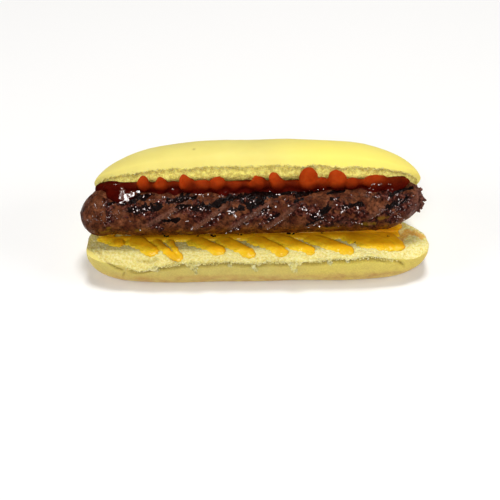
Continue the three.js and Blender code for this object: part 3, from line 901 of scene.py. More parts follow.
# Ketchup fingers that climb the top half's cut face: x at the top and at the foot, height of
# the top, half-width at the top and at the foot, and thickness.
FINGERS = [
    (-50.0, -48.0, 44.6, 2.7, 2.4, 1.3), (-42.6, -40.4, 44.0, 2.7, 2.6, 1.3),
    (-32.6, -29.0, 45.0, 3.2, 3.6, 1.5), (-24.2, -24.0, 42.8, 4.2, 4.6, 1.0),
    (-17.6, -17.2, 44.2, 3.2, 3.4, 1.3), (-10.0, -10.2, 41.6, 2.4, 3.0, 0.9),
    (-1.4, 0.2, 44.4, 3.6, 4.0, 1.4), (5.8, 9.0, 45.9, 2.5, 2.9, 1.7),
    (21.5, 21.3, 47.6, 3.7, 3.9, 2.2), (26.8, 27.2, 43.2, 3.0, 3.6, 1.2),
    (33.6, 33.6, 46.4, 3.7, 3.9, 2.0), (39.4, 39.8, 42.6, 3.0, 3.6, 1.1),
    (50.6, 50.6, 44.4, 7.4, 7.8, 1.5), (60.0, 60.0, 43.2, 5.4, 5.4, 1.1),
]
FINGER_WIDER, FINGER_THINNER = 1.12, 0.85
FINGER_FOOT = 39.6

# Short runs of ketchup over the crest of the sausage: x, y and half-length.
RUNS = [
    (-42.0, -7.8, 3.6), (-35.0, -8.6, 2.4), (-24.5, -8.2, 4.0), (-15.0, -8.8, 2.6),
    (-4.0, -7.6, 3.0), (8.5, -8.0, 3.2), (30.0, -7.4, 3.4), (49.0, -8.4, 4.4), (57.0, -8.8, 3.0),
]


def finger_glow(x, z):
    """How close each place is to a finger of ketchup, where the sauce is thin and bright."""
    glow = np.zeros_like(x)
    for top_x, foot_x, top, width, _, _ in FINGERS:
        middle = lerp(top_x, foot_x, np.clip((top - z) / 7, 0, 1))
        glow = np.maximum(glow, np.exp(-(np.abs(x - middle) / (1.1 * width)) ** 4))
    return glow


def ketchup_piece(material):
    """The ketchup: fingers, a thick band behind the sausage, a ledge and short runs, fused."""
    bm = bmesh.new()
    for top_x, foot_x, top, top_width, foot_width, thick in FINGERS:
        top_width, foot_width = FINGER_WIDER * top_width, FINGER_WIDER * foot_width
        thick = FINGER_THINNER * thick
        heights = [top, lerp(top, FINGER_FOOT, 0.35), lerp(top, FINGER_FOOT, 0.75), 39.0]
        behind = [wall_of_top(top) - 0.1, -5.2, -7.0, -8.8]
        xs = [top_x, lerp(top_x, foot_x, 0.4), lerp(top_x, foot_x, 0.8), foot_x]
        widths = [top_width, top_width, foot_width, 0.8 * foot_width]
        depths = [thick, 1.1 * thick, 1.1 * thick, 0.6 * thick]
        path = list(zip(xs, behind, heights))
        add_sheet(bm, bead(path, widths, depths, around=28, steps=30))
    back = [(-70, -3.0, 34.9), (-40, -3.6, 35.4), (0, -3.7, 35.4), (40, -3.2, 35.8),
            (65, -3.2, 36.6)]
    deep = [3.0, 4.0, 4.5, 3.8, 4.6, 4.0, 4.7, 3.9, 4.5, 4.1, 4.8, 3.9, 4.4, 4.6, 3.8]
    wide = [3.2, 5.4, 6.0, 5.6, 6.3, 5.8, 6.1, 5.5, 6.2, 5.6, 5.9, 5.2, 5.8, 5.6, 4.4]
    add_sheet(bm, bead(back, wide, deep, around=28, steps=160, square=0.9))
    ledge = [(-66, -5.2, 39.3), (-30, -5.3, 39.9), (10, -5.3, 40.0), (40, -5.2, 40.2),
             (62, -5.0, 40.0)]
    wide = [1.4, 1.9, 2.3, 1.7, 2.4, 1.8, 2.2, 1.6, 2.4, 1.9, 2.3, 1.7, 2.0, 2.3, 1.5]
    deep = [1.2, 1.8, 1.5, 1.9, 1.4, 1.8, 1.6, 2.0, 1.5, 1.9, 1.5, 1.8, 1.6, 1.8, 1.2]
    add_sheet(bm, bead(ledge, wide, deep, around=24, steps=150))
    spread = [(-70.0, -3.0, 35.8), (-61, -3.2, 36.6), (-47, -3.2, 36.6)]
    add_sheet(bm, bead(spread, [2.4, 4.4, 4.0], [2.0, 3.0, 3.0], around=24, steps=60, square=0.9))
    for x, y, reach in RUNS:
        run = [(x - reach, y + 1.6, 38.2), (x, y, 37.9), (x + reach, y + 1.8, 38.2)]
        add_sheet(bm, bead(run, [1.0, 1.9, 1.0], [0.9, 1.1, 0.9], around=20, steps=24))
    pool = [(-65.0, -6.6, 37.0), (-58.6, -8.4, 37.4), (-49.6, -7.6, 37.1)]
    add_sheet(bm, bead(pool, [2.2, 4.6, 2.6], [1.3, 1.7, 1.3], around=24, steps=60, square=0.75))
    close_up(bm, distance=0.001)
    bm = fused(bm, "ketchup_drops", voxel=0.36, smooth_steps=22)
    points, normals = places(bm), facings(bm)
    wobble = 0.35 * noise_field(points, 4.2, 3.0) + 0.16 * noise_field(points, 1.7, 5.0)
    points = points + normals * wobble[:, None]
    put_back(bm, points)
    x, _, z = points.T
    rough_z = z + 0.9 * noise_field(points, 4.0, 2.0)
    glow = finger_glow(x, z)
    # Orange red where the fingers are thin, and painted lighter higher up, standing in for the
    # light that falls there.
    thin_and_lit = (0.45 + 0.55 * glow) * smoothstep(rough_z, 39.6, 44.0)
    thin_and_lit *= (1 - 0.75 * smoothstep(x, 49, 57)) * (1 - 0.8 * smoothstep(-x, 51.5, 55))
    # Painted shadow at the foot, next to the sausage.
    foot = (1 - smoothstep(z + 0.9 * noise_field(points, 2.5, 8.0), 36.8, 39.6)) * (1 - 0.3 * glow)
    return finish_piece(bm, "ketchup_drops", material, replaces="ketchup",
                        masks={"thin_and_lit": thin_and_lit, "foot": foot})


# Specks of char on the mustard and along the foot of the sausage: x, y and size.
SPECKS = [
    (57.2, -13.8, 0.45), (56.2, -13.2, 0.5), (58.0, -14.3, 0.4), (42.2, -17.6, 0.3),
    (-41.0, -11.6, 0.5), (-39.6, -11.7, 0.5), (-26.0, -11.9, 0.4), (-20.4, -11.6, 0.5),
    (-19.0, -11.7, 0.6), (-8.2, -11.0, 0.5), (-7.0, -11.0, 0.6), (13.8, -10.9, 0.6),
    (15.2, -11.0, 0.5), (28.0, -10.7, 0.35),
]


def specks_piece(material):
    """Burnt specks that lie in the mustard."""
    rng = np.random.default_rng(8)
    bm = bmesh.new()
    for x, y, size in SPECKS:
        z = float(height_of_cut(y)) + 1.6
        for _ in range(2):
            place = (x + rng.normal() * size * 0.8, y + rng.normal() * size * 0.3,
                     z + rng.normal() * 0.15)
            add_grain(bm, rng, place, size * rng.uniform(0.7, 1.1), stretch=0.7, subdivisions=2)
    masks = meat_masks(char=1.0)
    return finish_piece(bm, "char_specks", material, masks=masks)


# ---------------------------------------------------------------- melted fat

# Clusters of beads of melted fat, placed on a slope that leans back at 45 degrees: x, height up
# that slope, spread along x, spread up the slope and number of beads.
BEADS = [
    (-69.0, 16.2, 0.2, 0.7, 2), (-65.3, 16.6, 0.3, 0.3, 1), (-51.6, 13.8, 0.9, 0.4, 3),
    (-48.0, 14.3, 1.3, 0.5, 4), (-46.2, 15.2, 0.9, 0.4, 3), (-48.0, 12.1, 1.1, 0.4, 3),
    (-54.3, 9.6, 0.4, 0.4, 1), (-49.2, 20.1, 0.9, 0.4, 2), (-45.9, 21.0, 0.7, 0.4, 4),
    (-40.1, 19.6, 1.1, 0.2, 4), (-36.1, 22.7, 0.4, 0.4, 2), (-25.7, 20.4, 0.7, 0.2, 2),
    (-42.0, 17.5, 0.3, 0.3, 1), (-37.8, 10.9, 0.4, 0.4, 2), (-28.3, 14.4, 0.4, 0.7, 2),
    (-30.3, 8.9, 0.7, 0.4, 2), (-28.3, 5.9, 0.6, 0.6, 4), (-50.5, 5.3, 0.4, 0.4, 1),
    (-23.0, 20.5, 2.2, 0.2, 4), (-15.5, 19.7, 1.1, 0.3, 5), (-24.0, 14.3, 1.8, 0.7, 5),
    (-16.3, 11.7, 0.7, 0.4, 3), (-12.4, 13.3, 0.9, 0.4, 4), (-10.9, 12.5, 1.1, 0.7, 6),
    (-9.3, 11.2, 0.8, 0.4, 5), (-9.9, 14.5, 0.7, 0.4, 2), (-19.4, 9.7, 0.9, 0.4, 2),
    (-13.5, 4.1, 0.5, 0.4, 3), (-4.6, 7.7, 1.1, 0.5, 3), (-9.1, 5.8, 0.7, 0.4, 2),
    (2.3, 12.3, 0.4, 0.4, 2), (3.9, 12.5, 0.5, 0.4, 3), (5.5, 11.4, 0.5, 0.4, 4),
    (4.4, 14.4, 0.4, 0.7, 2), (7.5, 14.8, 0.4, 0.4, 1), (12.4, 15.2, 1.1, 0.1, 3),
    (11.3, 17.8, 0.2, 0.2, 1), (19.2, 13.8, 1.1, 0.9, 7), (20.5, 12.0, 0.7, 0.4, 2),
    (8.4, 20.0, 1.8, 0.2, 3), (4.7, 21.6, 0.2, 0.7, 1), (24.4, 15.8, 0.4, 0.4, 2),
    (25.0, 11.6, 1.3, 0.8, 4), (23.5, 10.4, 0.4, 0.4, 1), (32.9, 17.8, 1.3, 0.2, 3),
    (39.4, 19.4, 0.4, 0.4, 1), (35.4, 12.9, 1.2, 0.8, 8), (37.7, 13.9, 0.7, 0.4, 3),
    (46.7, 20.3, 1.0, 0.2, 3), (51.1, 18.6, 1.0, 0.4, 5), (48.9, 23.7, 0.7, 0.5, 3),
    (51.8, 23.9, 1.1, 0.4, 6), (55.8, 23.8, 0.7, 0.3, 2), (57.0, 21.6, 1.1, 0.2, 2),
    (55.7, 17.4, 1.3, 0.7, 4), (52.3, 12.5, 1.5, 0.8, 6), (56.1, 12.4, 0.7, 0.7, 2),
    (58.8, 7.7, 0.5, 0.4, 2), (33.5, 15.5, 0.4, 0.3, 1), (41.7, 14.3, 0.9, 0.5, 3),
    (25.7, 6.1, 0.3, 0.3, 1),
]

# Round spots that together make the wet patch near the left end: x, height up the slope and
# radius.
WET_PATCH = [
    (-57.5, 23.4, 0.44), (-57.6, 22.1, 0.7), (-57.4, 20.6, 0.97), (-57.6, 19.1, 1.14),
    (-58.3, 18.1, 0.79), (-55.7, 18.9, 0.88), (-54.3, 20.4, 0.75), (-53.3, 21.3, 0.7),
    (-52.9, 20.4, 0.53), (-55.8, 20.4, 0.7),
]

# Strokes of finer beads: start x, start angle, end x, end angle, spread along x and number.
GLINTS = [
    (-71, 20, -64, 70, 1.6, 40), (-66, 8, -58, 50, 1.8, 40), (58, 20, 62, 62, 2.2, 44),
    (66, 30, 66, 70, 1.6, 12), (-48, 74, -20, 84, 1.4, 16), (-36, 62, -30, 80, 2.0, 10),
]

# Kinds of drop: thickness for a radius of 1, how unevenly it tilts, and how far it stands off.
WET_DROP = (0.16, 0.04, 0.15)
BURNT_DROP = (0.15, 0.07, 0.2)
SEAM_DROP = (0.15, 0.08, 0.2)
FINE_DROP = (0.15, 0.10, 0.2)

# The way up the slope, the way straight into it, and the way that flat drops face.
SLOPE = Vector((0, 1, 1)).normalized()
INWARD = Vector((0, 1, -1)).normalized()
FACING = Vector((-0.046, -0.688, 0.724)).normalized()


def up_slope(x, angle):
    """The x and the height up the slope of a place on the sausage."""
    turn = math.radians(angle)
    centre_y, centre_z = sausage_centre(x)
    rise = SAUSAGE["radius"] * (math.sin(turn) - math.cos(turn))
    return x, (centre_y + centre_z + rise) * math.sqrt(0.5)


def off_slope(x, s):
    """A place well in front of the food, at an x and a height up the slope."""
    return Vector((x, 0, 0)) + SLOPE * s - INWARD * 60


def first_hit(skins, start):
    """What a line from a place into the slope meets first: place and distance in metres."""
    hits = [skin.ray_cast((start + Vector(SHIFT)) * MM, INWARD) for skin in skins]
    return min([hit for hit in hits if hit[0] is not None], key=lambda hit: hit[3], default=None)


def drop_list(rng):
    """Every drop: x, height up the slope, radius, and what its kind gives."""
    drops = []
    for x, s, long, high, count in BEADS:
        for _ in range(count):
            drops.append((x + rng.normal() * long * 0.6, s + rng.normal() * high * 0.6,
                          rng.uniform(0.24, 0.6), *WET_DROP))
    for x1, angle1, x2, angle2, width in DARKS:
        for _ in range(int(4 * width)):
            t = rng.random()
            place = up_slope(lerp(x1, x2, t) + rng.normal() * width * 0.5, lerp(angle1, angle2, t))
            drops.append((*place, rng.uniform(0.16, 0.42), *BURNT_DROP))
    for x1, angle1, x2, angle2, depth in SEAMS:
        for t in np.arange(0.04, 0.8, 0.055) * (depth > 0.6):
            place = up_slope(lerp(x1, x2, t) + 1.1, lerp(angle1, angle2, t) - 3)
            drops.append((*place, rng.uniform(0.12, 0.34), *SEAM_DROP))
    for x1, angle1, x2, angle2, width, count in GLINTS:
        for _ in range(count):
            t = rng.random()
            place = up_slope(lerp(x1, x2, t) + rng.normal() * width, lerp(angle1, angle2, t))
            drops.append((*place, rng.uniform(0.12, 0.3), *FINE_DROP))
    return drops


def beads_piece(material, under):
    """Flat drops that lie on whatever the slope shows there, all turned nearly the same way."""
    rng = np.random.default_rng(21)
    bpy.context.view_layer.update()
    graph = bpy.context.evaluated_depsgraph_get()
    skins = [BVHTree.FromObject(piece, graph) for piece in under]
    bm = bmesh.new()
    for x, s, radius, thick, jitter, lift in drop_list(rng):
        hit = first_hit(skins, off_slope(x, s))
        if hit is None:
            continue
        place = hit[0] / MM - Vector(SHIFT)
        made = bmesh.ops.create_icosphere(bm, subdivisions=2, radius=1.0)["verts"]
        for vertex in made:
            vertex.co *= 1 + 0.25 * noise.noise(vertex.co * 1.7 + Vector((x, s, 0)) * 3)
            z = vertex.co.z
            vertex.co.z = thick * min(1, 1.7 * z) if z > 0 else 0.6 * z
        stretch = rng.uniform(0.6, 1.0)
        bmesh.ops.scale(bm, verts=made, vec=(radius, radius * stretch, radius))
        tilt = (FACING + Vector(rng.normal(size=3)) * jitter).normalized()
        spin = Matrix.Rotation(rng.uniform(-0.6, 0.6), 3, "Z")
        turn = tilt.to_track_quat("Z", "Y").to_matrix() @ spin
        bmesh.ops.rotate(bm, verts=made, cent=(0, 0, 0), matrix=turn)
        bmesh.ops.translate(bm, verts=made, vec=place + tilt * lift * radius)
    wet_patch(bm, skins)
    return finish_piece(bm, "melted_fat", material)


def wet_patch(bm, skins):
    """A flat film of wet sauce with a ragged outline, closed by a sheet inside the food."""
    step, sheet_depth, out_of_reach = 0.16, 4.0, -0.6
    across, high = np.meshgrid(np.arange(-61.5, -50.0, step), np.arange(16.0, 25.5, step),
                               indexing="ij")
    spots = np.stack([across.ravel(), high.ravel()], axis=-1)
    patch = np.array(WET_PATCH)
    reach = 1.4 * patch[:, 2] - np.linalg.norm(spots[:, None, :] - patch[None, :, :2], axis=2)
    flat = np.stack([spots[:, 0], spots[:, 1], 0 * spots[:, 0]], axis=-1)
    inside = reach.max(axis=1) + 0.45 * noise_field(flat, 1.1, 4.0)
    inside = inside + 0.2 * noise_field(flat, 0.5, 2.0)
    starts = [off_slope(x, s) for x, s in spots]
    depth = np.full(len(starts), np.nan)
    for i, start in enumerate(starts):
        hit = first_hit(skins, start) if inside[i] > out_of_reach else None
        if hit is not None:
            depth[i] = hit[3] / MM
    origin, inward = np.array([start[:] for start in starts]), np.array(INWARD[:])
    to_plane = -(origin @ np.array(FACING[:])) / INWARD.dot(FACING)
    found = (inside > 0) & np.isfinite(depth)
    to_plane += np.percentile((depth - to_plane)[found], 15) - 0.15
    to_plane += 0.012 * noise_field(flat, 1.4, 6.0) + 3.0 * (1 - smoothstep(inside, -0.35, 0.05))
    rim = np.zeros(across.shape, bool)
    rim[[0, -1], :] = rim[:, [0, -1]] = True
    for sink in (0.0, sheet_depth):
        sheet = origin + inward * (to_plane + sink)[:, None]
        sheet[rim.ravel()] -= inward * sink
        add_sheet(bm, sheet.reshape(across.shape + (3,)))
    close_up(bm, distance=0.001)


# ---------------------------------------------------------------- materials

class Nodes:
    """Short names for the shader nodes of one material."""

    def __init__(self, name):
        self.material = bpy.data.materials.new(name)
        self.material.use_nodes = True
        self.tree = self.material.node_tree
        self.shader = self.tree.nodes["Principled BSDF"]
        self.place = self.tree.nodes.new("ShaderNodeTexCoord").outputs["Object"]

    def add(self, kind, **settings):
        """A new node with its settings."""
        node = self.tree.nodes.new(kind)
        for key, value in settings.items():
            setattr(node, key, value)
        return node

    def join(self, source, target):
        """Links an output to an input."""
        self.tree.links.new(source, target)

    def drive(self, socket, source):
        """Joins a node's result to one of the shader's sockets."""
        self.join(source, self.shader.inputs[socket])

    def surface(self, specular, roughness=None, glow=None):
        """Sets the shader's gloss, and how light spreads inside: its weight, radius and scale."""
        inputs = self.shader.inputs
        inputs["Specular IOR Level"].default_value = specular
        if roughness is not None:
            inputs["Roughness"].default_value = roughness
        if glow is not None:
            for part, value in zip(("Weight", "Radius", "Scale"), glow):
                inputs["Subsurface " + part].default_value = value

    def mask(self, name):
        """A value that the mesh carries at each point."""
        return self.add("ShaderNodeAttribute", attribute_name=name).outputs["Fac"]

    def noise(self, scale, detail=4.0, roughness=0.55, distortion=0.0):
        """Soft random values round 0.5 that lie fixed in the piece."""
        node = self.add("ShaderNodeTexNoise")
        self.join(self.place, node.inputs["Vector"])
        node.inputs["Scale"].default_value = scale
        node.inputs["Detail"].default_value = detail
        node.inputs["Roughness"].default_value = roughness
        node.inputs["Distortion"].default_value = distortion
        return node.outputs["Fac"]

    def across(self):
        """Place along the hot dog: 0.5 in the middle, less to the left and more to the right."""
        apart = self.add("ShaderNodeSeparateXYZ")
        self.join(self.place, apart.inputs[0])
        return self.maths("MULTIPLY_ADD", apart.outputs[0], 6.0, 0.5)

    def cells(self, scale):
        """Distance to the nearest of many scattered points."""
        node = self.add("ShaderNodeTexVoronoi")
        self.join(self.place, node.inputs["Vector"])
        node.inputs["Scale"].default_value = scale
        return node.outputs["Distance"]

    def ramp(self, value, stops):
        """Turns a value into a colour or a number, by stops of (value, colour or number)."""
        node = self.add("ShaderNodeValToRGB")
        elements = node.color_ramp.elements
        while len(elements) < len(stops):
            elements.new(0.5)
        for element, (position, color) in zip(elements, stops):
            element.position = position
            if isinstance(color, (int, float)):
                color = (color,) * 3
            element.color = (*color, 1.0)
        self.join(value, node.inputs["Fac"])
        return node.outputs["Color"]

    def mix(self, factor, a, b, blend="MIX"):
        """From colour a to colour b; each part is a number, a colour or another node's result."""
        node = self.add("ShaderNodeMix", data_type="RGBA", blend_type=blend)
        sockets = (node.inputs["Factor"], node.inputs[6], node.inputs[7])
        for socket, value in zip(sockets, (factor, a, b)):
            if isinstance(value, bpy.types.NodeSocket):
                self.join(value, socket)
            elif isinstance(value, (int, float)):
                socket.default_value = value
            else:
                socket.default_value = (*value, 1.0)
        return node.outputs[2]

    def paint(self, under, mask, strength, color):
        """Lays a colour over another one where a mask is, at a strength."""
        return self.mix(self.maths("MULTIPLY", mask, strength), under, color)

    def maths(self, operation, a, b=0.0, c=0.0):
        """One sum of numbers or of other nodes' results."""
        node = self.add("ShaderNodeMath", operation=operation)
        for socket, value in zip(node.inputs, (a, b, c)):
            if isinstance(value, bpy.types.NodeSocket):
                self.join(value, socket)
            else:
                socket.default_value = value
        return node.outputs[0]

    def bump(self, height, strength, distance, under=None):
        """Fine relief from a height, over another relief where one is given."""
        node = self.add("ShaderNodeBump")
        node.inputs["Strength"].default_value = strength
        node.inputs["Distance"].default_value = distance
        self.join(height, node.inputs["Height"])
        if under is not None:
            self.join(under, node.inputs["Normal"])
        return node.outputs["Normal"]


def bread_material():
    """Pale, patchily browned crust, and rough crumb where the roll is open.

    Here and in the other materials, colours are linear red, green and blue."""
    golden_lit_right, freckle, crease = (0.95, 0.80, 0.17), (0.35, 0.13, 0.03), (0.34, 0.235, 0.035)
    lip_fill_light, hollow, mustard_stain = (1.0, 0.86, 0.20), (0.50, 0.37, 0.06), (0.80, 0.33, 0.006)
    n = Nodes("bread")
    crumb, toast, fold, lip = n.mask("crumb"), n.mask("toast"), n.mask("fold"), n.mask("lip")
    fine = n.noise(900, 5, 0.7)
    grain = n.noise(1500, 4, 0.7)

    crust_color = n.ramp(n.noise(45, 3), [(0.3, (0.78, 0.67, 0.18)), (0.7, (0.85, 0.75, 0.215))])
    # The crust turns golden and brighter towards the right: painted light where that side is more
    # strongly lit.
    crust_color = n.mix(n.ramp(n.across(), [(0.52, 0.0), (0.68, 1.0)]), crust_color, golden_lit_right)
    browned = n.ramp(n.noise(260, 6, 0.7), [(0.3, (0.44, 0.21, 0.06)), (0.5, (0.62, 0.37, 0.11)),
                                            (0.7, (0.72, 0.50, 0.15))])
    patchy = n.ramp(n.noise(210, 5, 0.65), [(0.36, 0.45), (0.62, 1.0)])
    crust_color = n.paint(crust_color, toast, patchy, browned)
    freckles = n.ramp(n.noise(520, 3, 0.6), [(0.66, 0.0), (0.74, 1.0)])
    crust_color = n.paint(crust_color, freckles, n.maths("MULTIPLY", toast, 0.6), freckle)

    crumb_color = n.ramp(fine, [(0.32, (0.70, 0.545, 0.13)), (0.45, (0.86, 0.735, 0.24)),
                                (0.62, (0.98, 0.90, 0.46))])
    # The crumb is painted lighter towards the right and darker to the left: painted light on the
    # brighter right side.
    lit_right_crumb = n.ramp(n.across(), [(0.52, (0.85, 0.84, 0.76)), (0.75, (0.97, 0.97, 0.97))])
    crumb_color = n.mix(1.0, crumb_color, lit_right_crumb, "MULTIPLY")
    # The top half's crumb is painted brighter and yellower: painted fill light on its shaded face
    # under the lip.
    crumb_color = n.paint(crumb_color, lip, 0.8, lip_fill_light)
    # Dark patches on the top half's crumb: its olive mottle, and painted shade on the face under
    # the lip.
    shaded = n.ramp(n.noise(620, 4, 0.75), [(0.42, 1.0), (0.56, 0.0)])
    crumb_color = n.paint(crumb_color, n.maths("MULTIPLY", shaded, lip), 0.7, hollow)
    uneven = n.ramp(grain, [(0.35, 1.0), (0.65, 0.5)])
    stained = n.maths("MULTIPLY", n.mask("soaked"), uneven)
    crumb_color = n.paint(crumb_color, stained, 0.85, mustard_stain)

    spread = n.maths("ADD", n.maths("MULTIPLY", lip, 0.7), 0.9)
    ragged = n.maths("MULTIPLY", n.maths("SUBTRACT", grain, 0.5), spread)
    is_crumb = n.ramp(n.maths("ADD", crumb, ragged), [(0.42, 0.0), (0.55, 1.0)])
    color = n.mix(is_crumb, crust_color, crumb_color)
    # The fold mask paints shade into the creases, the crack, under the torn edge and over the front
    # wall, and also marks real brown spots on the crust.
    color = n.paint(color, fold, n.ramp(grain, [(0.35, 1.0), (0.65, 0.45)]), crease)
    n.drive("Base Color", color)
    n.surface(specular=0.25, roughness=0.62, glow=(0.35, (1.0, 0.75, 0.35), 0.003))
    skin = n.bump(n.noise(420, 4, 0.6), 0.1, 0.0004)
    open_height = n.maths("ADD", fine, n.maths("MULTIPLY", n.cells(1100), 0.6))
    n.drive("Normal", n.bump(n.maths("MULTIPLY", open_height, is_crumb), 0.55, 0.0006, skin))
    return n.material


def meat_material():
    """Dark grilled skin, with burnt places, ribs, wet patches and torn meat."""
    nearly_black, mustard_smear = (0.010, 0.002, 0.0015), (0.33, 0.18, 0.004)
    n = Nodes("grilled_meat")
    grain = n.noise(700, 5, 0.65)
    mottle = n.noise(230, 4, 0.6)
    ragged = n.maths("MULTIPLY", n.maths("SUBTRACT", n.noise(950, 4, 0.65), 0.5), 1.5)
    char = n.ramp(n.maths("ADD", n.mask("char"), ragged), [(0.42, 0.0), (0.62, 1.0)])
    dark = n.ramp(n.maths("ADD", n.mask("dark"), ragged), [(0.30, 0.0), (0.62, 1.0)])

    base = n.ramp(mottle, [(0.36, (0.050, 0.010, 0.004)), (0.50, (0.090, 0.025, 0.009)),
                           (0.64, (0.155, 0.051, 0.022))])
    warm_grease_and_bounce = n.ramp(mottle, [(0.36, (0.060, 0.012, 0.001)), (0.50, (0.100, 0.026, 0.002)),
                           (0.64, (0.165, 0.056, 0.004))])
    # The warmer underside is grease, and painted warm light bounced up from the mustard and bread.
    color = n.mix(n.mask("grease_and_bounce"), base, warm_grease_and_bounce)
    color = n.mix(1.0, color, n.ramp(grain, [(0.38, 0.40), (0.50, 1.0), (0.62, 1.4)]), "MULTIPLY")
    ruddy = n.ramp(grain, [(0.42, (0.008, 0.001, 0.001)), (0.52, (0.040, 0.006, 0.004)),
                           (0.64, (0.14, 0.042, 0.028))])
    color = n.paint(color, dark, 0.9, ruddy)
    specks = n.ramp(n.noise(1100, 3, 0.6), [(0.645, 0.0), (0.68, 1.0)])
    color = n.mix(specks, color, nearly_black)
    rib = n.ramp(n.noise(1300, 3, 0.7), [(0.38, (0.090, 0.030, 0.017)),
                                         (0.62, (0.25, 0.115, 0.075))])
    color = n.paint(color, n.mask("seam"), 0.55, rib)
    flesh = n.ramp(grain, [(0.38, (0.07, 0.022, 0.016)), (0.60, (0.21, 0.090, 0.068))])
    color = n.paint(color, n.mask("torn"), 0.75, flesh)
    color = n.paint(color, n.mask("smear"), 0.32, mustard_smear)
    burnt = n.ramp(n.noise(900, 4, 0.7), [(0.4, (0.0015, 0.001, 0.001)),
                                          (0.7, (0.014, 0.004, 0.003))])
    n.drive("Base Color", n.mix(char, color, burnt))

    greased = n.maths("MULTIPLY", n.maths("MAXIMUM", char, dark), 0.10)
    wet = n.maths("ADD", n.noise(300, 3, 0.6), greased)
    n.drive("Roughness", n.ramp(wet, [(0.50, 0.60), (0.60, 0.16)]))
    n.surface(specular=0.04)
    small = n.bump(n.noise(1500, 3, 0.6), 0.3, 0.0004)
    n.drive("Normal", n.bump(n.noise(520, 2, 0.5, 0.3), 0.35, 0.0010, small))
    return n.material


def fat_material():
    """Clear, dark red fat that shines."""
    n = Nodes("melted_fat")
    n.shader.inputs["Base Color"].default_value = (0.10, 0.030, 0.020, 1.0)
    n.surface(specular=1.0, roughness=0.07)
    return n.material


def ketchup_material():
    """Deep red where it is thick, orange red in the thin fingers, painted lighter higher up, and a
    painted shadow, nearly black, at its foot.
    """
    shadow = (0.020, 0.0010, 0.0006)
    n = Nodes("ketchup")
    deep = n.ramp(n.noise(200, 3), [(0.3, (0.034, 0.0010, 0.0005)), (0.7, (0.078, 0.0035, 0.0008))])
    thin = n.ramp(n.noise(260, 4), [(0.3, (0.31, 0.029, 0.0026)), (0.7, (0.43, 0.054, 0.006))])
    color = n.mix(n.mask("thin_and_lit"), deep, thin)
    n.drive("Base Color", n.paint(color, n.mask("foot"), 0.7, shadow))
    n.surface(specular=0.01, roughness=0.45, glow=(0.3, (1.0, 0.25, 0.06), 0.0015))
    n.drive("Normal", n.bump(n.noise(700, 3), 0.2, 0.0005))
    return n.material


def mustard_material():
    """Glossy yellow, paler where it is thin, with painted shade at its tips and on the side turned
    away from the front light.
    """
    film, tip_shade, shadow = (0.95, 0.70, 0.03), (0.72, 0.44, 0.012), (0.40, 0.17, 0.004)
    n = Nodes("mustard")
    thick = n.ramp(n.noise(130, 4, 0.6), [(0.34, (0.74, 0.325, 0.004)),
                                          (0.66, (0.98, 0.51, 0.009))])
    color = n.paint(thick, n.mask("thin"), 0.7, film)
    color = n.mix(n.mask("tip"), color, tip_shade)
    n.drive("Base Color", n.paint(color, n.mask("shade"), 0.55, shadow))
    n.surface(specular=0.2, roughness=0.28, glow=(0.3, (1.0, 0.6, 0.08), 0.001))
    n.drive("Normal", n.bump(n.noise(900, 3), 0.15, 0.0004))
    return n.material


def floor_material():
    """The plain white table."""
    n = Nodes("white_table")
    n.drive("Base Color", n.ramp(n.noise(4, 2), [(0.0, 0.92), (1.0, 0.94)]))
    n.surface(specular=0.2, roughness=0.7)
    return n.material


# ---------------------------------------------------------------- studio

# Round lamps that all face the hot dog: name, place and size in metres, and power in watts.
LAMPS = [
    ("overhead", (0.05, 0.14, 1.18), 0.30, 7.7),
    ("front_window", (-0.10, -0.92, 1.02), 0.42, 7.1),
    ("right_window", (1.05, -0.20, 0.60), 0.50, 3.4),
    ("left_window", (-1.05, -0.20, 0.60), 0.50, 3.0),
]


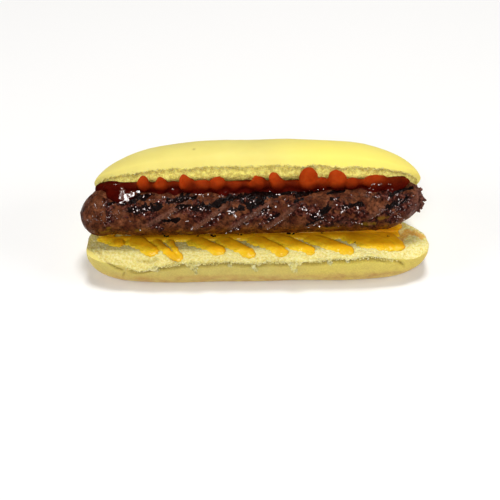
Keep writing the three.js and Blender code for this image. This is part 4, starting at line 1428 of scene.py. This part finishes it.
def studio():
    """A white table, soft light from the room and the lamps."""
    bm = bmesh.new()
    bmesh.ops.create_grid(bm, x_segments=1, y_segments=1, size=3.0)
    mesh = bpy.data.meshes.new("table")
    bm.to_mesh(mesh)
    bm.free()
    mesh.materials.append(floor_material())
    table = bpy.data.objects.new("table", mesh)
    bpy.context.scene.collection.objects.link(table)
    world = bpy.data.worlds.new("soft_room")
    world.use_nodes = True
    background = world.node_tree.nodes["Background"]
    background.inputs["Color"].default_value = (1.0, 0.91, 0.79, 1.0)
    background.inputs["Strength"].default_value = 0.12
    bpy.context.scene.world = world
    bpy.context.scene.view_settings.view_transform = "Standard"
    for name, place, size, watts in LAMPS:
        add_lamp(name, place, size, watts)


def add_lamp(name, place, size, watts):
    """A round lamp that faces the middle of the table."""
    light = bpy.data.lights.new(name, "AREA")
    light.shape = "DISK"
    light.size = size
    light.energy = watts
    lamp = bpy.data.objects.new(name, light)
    lamp.location = place
    lamp.rotation_euler = (-Vector(place)).to_track_quat("-Z", "Y").to_euler()
    bpy.context.scene.collection.objects.link(lamp)


def camera():
    """Looks down at 45 degrees on the front, with the hot dog just above the frame's middle."""
    elevation, turn, distance = math.radians(45), math.radians(1.5), 0.48
    target = Vector((0, -0.002, 0.022))
    frame_width, frame_middle, target_across, target_down = 500, 250, 256, 210.5
    mm_per_pixel = 0.44
    forward = Vector((math.sin(turn) * math.cos(elevation), math.cos(turn) * math.cos(elevation),
                      -math.sin(elevation)))
    right = Vector((math.cos(turn), -math.sin(turn), 0))
    up = right.cross(forward)
    pixel = mm_per_pixel * MM / distance
    aim = (forward + right * ((frame_middle - target_across) * pixel)
           - up * ((frame_middle - target_down) * pixel))
    data = bpy.data.cameras.new("camera")
    data.sensor_width = 36
    data.lens = data.sensor_width / (frame_width * pixel)
    data.clip_start = 0.01
    shot = bpy.data.objects.new("camera", data)
    shot.location = target - forward * distance
    shot.rotation_euler = aim.to_track_quat("-Z", "Y").to_euler()
    bpy.context.scene.collection.objects.link(shot)
    bpy.context.scene.camera = shot


def main():
    """The camera and the table first, then the hot dog from the roll outwards."""
    camera()
    studio()
    bread, meat = bread_material(), meat_material()
    bun_piece(bread)
    shreds_piece(bread)
    fringe_piece(bread)
    sausage = sausage_piece(meat)
    meat_shreds_piece(meat)
    specks_piece(meat)
    ketchup = ketchup_piece(ketchup_material())
    mustard_piece(mustard_material())
    beads_piece(fat_material(), [sausage, ketchup])


main()
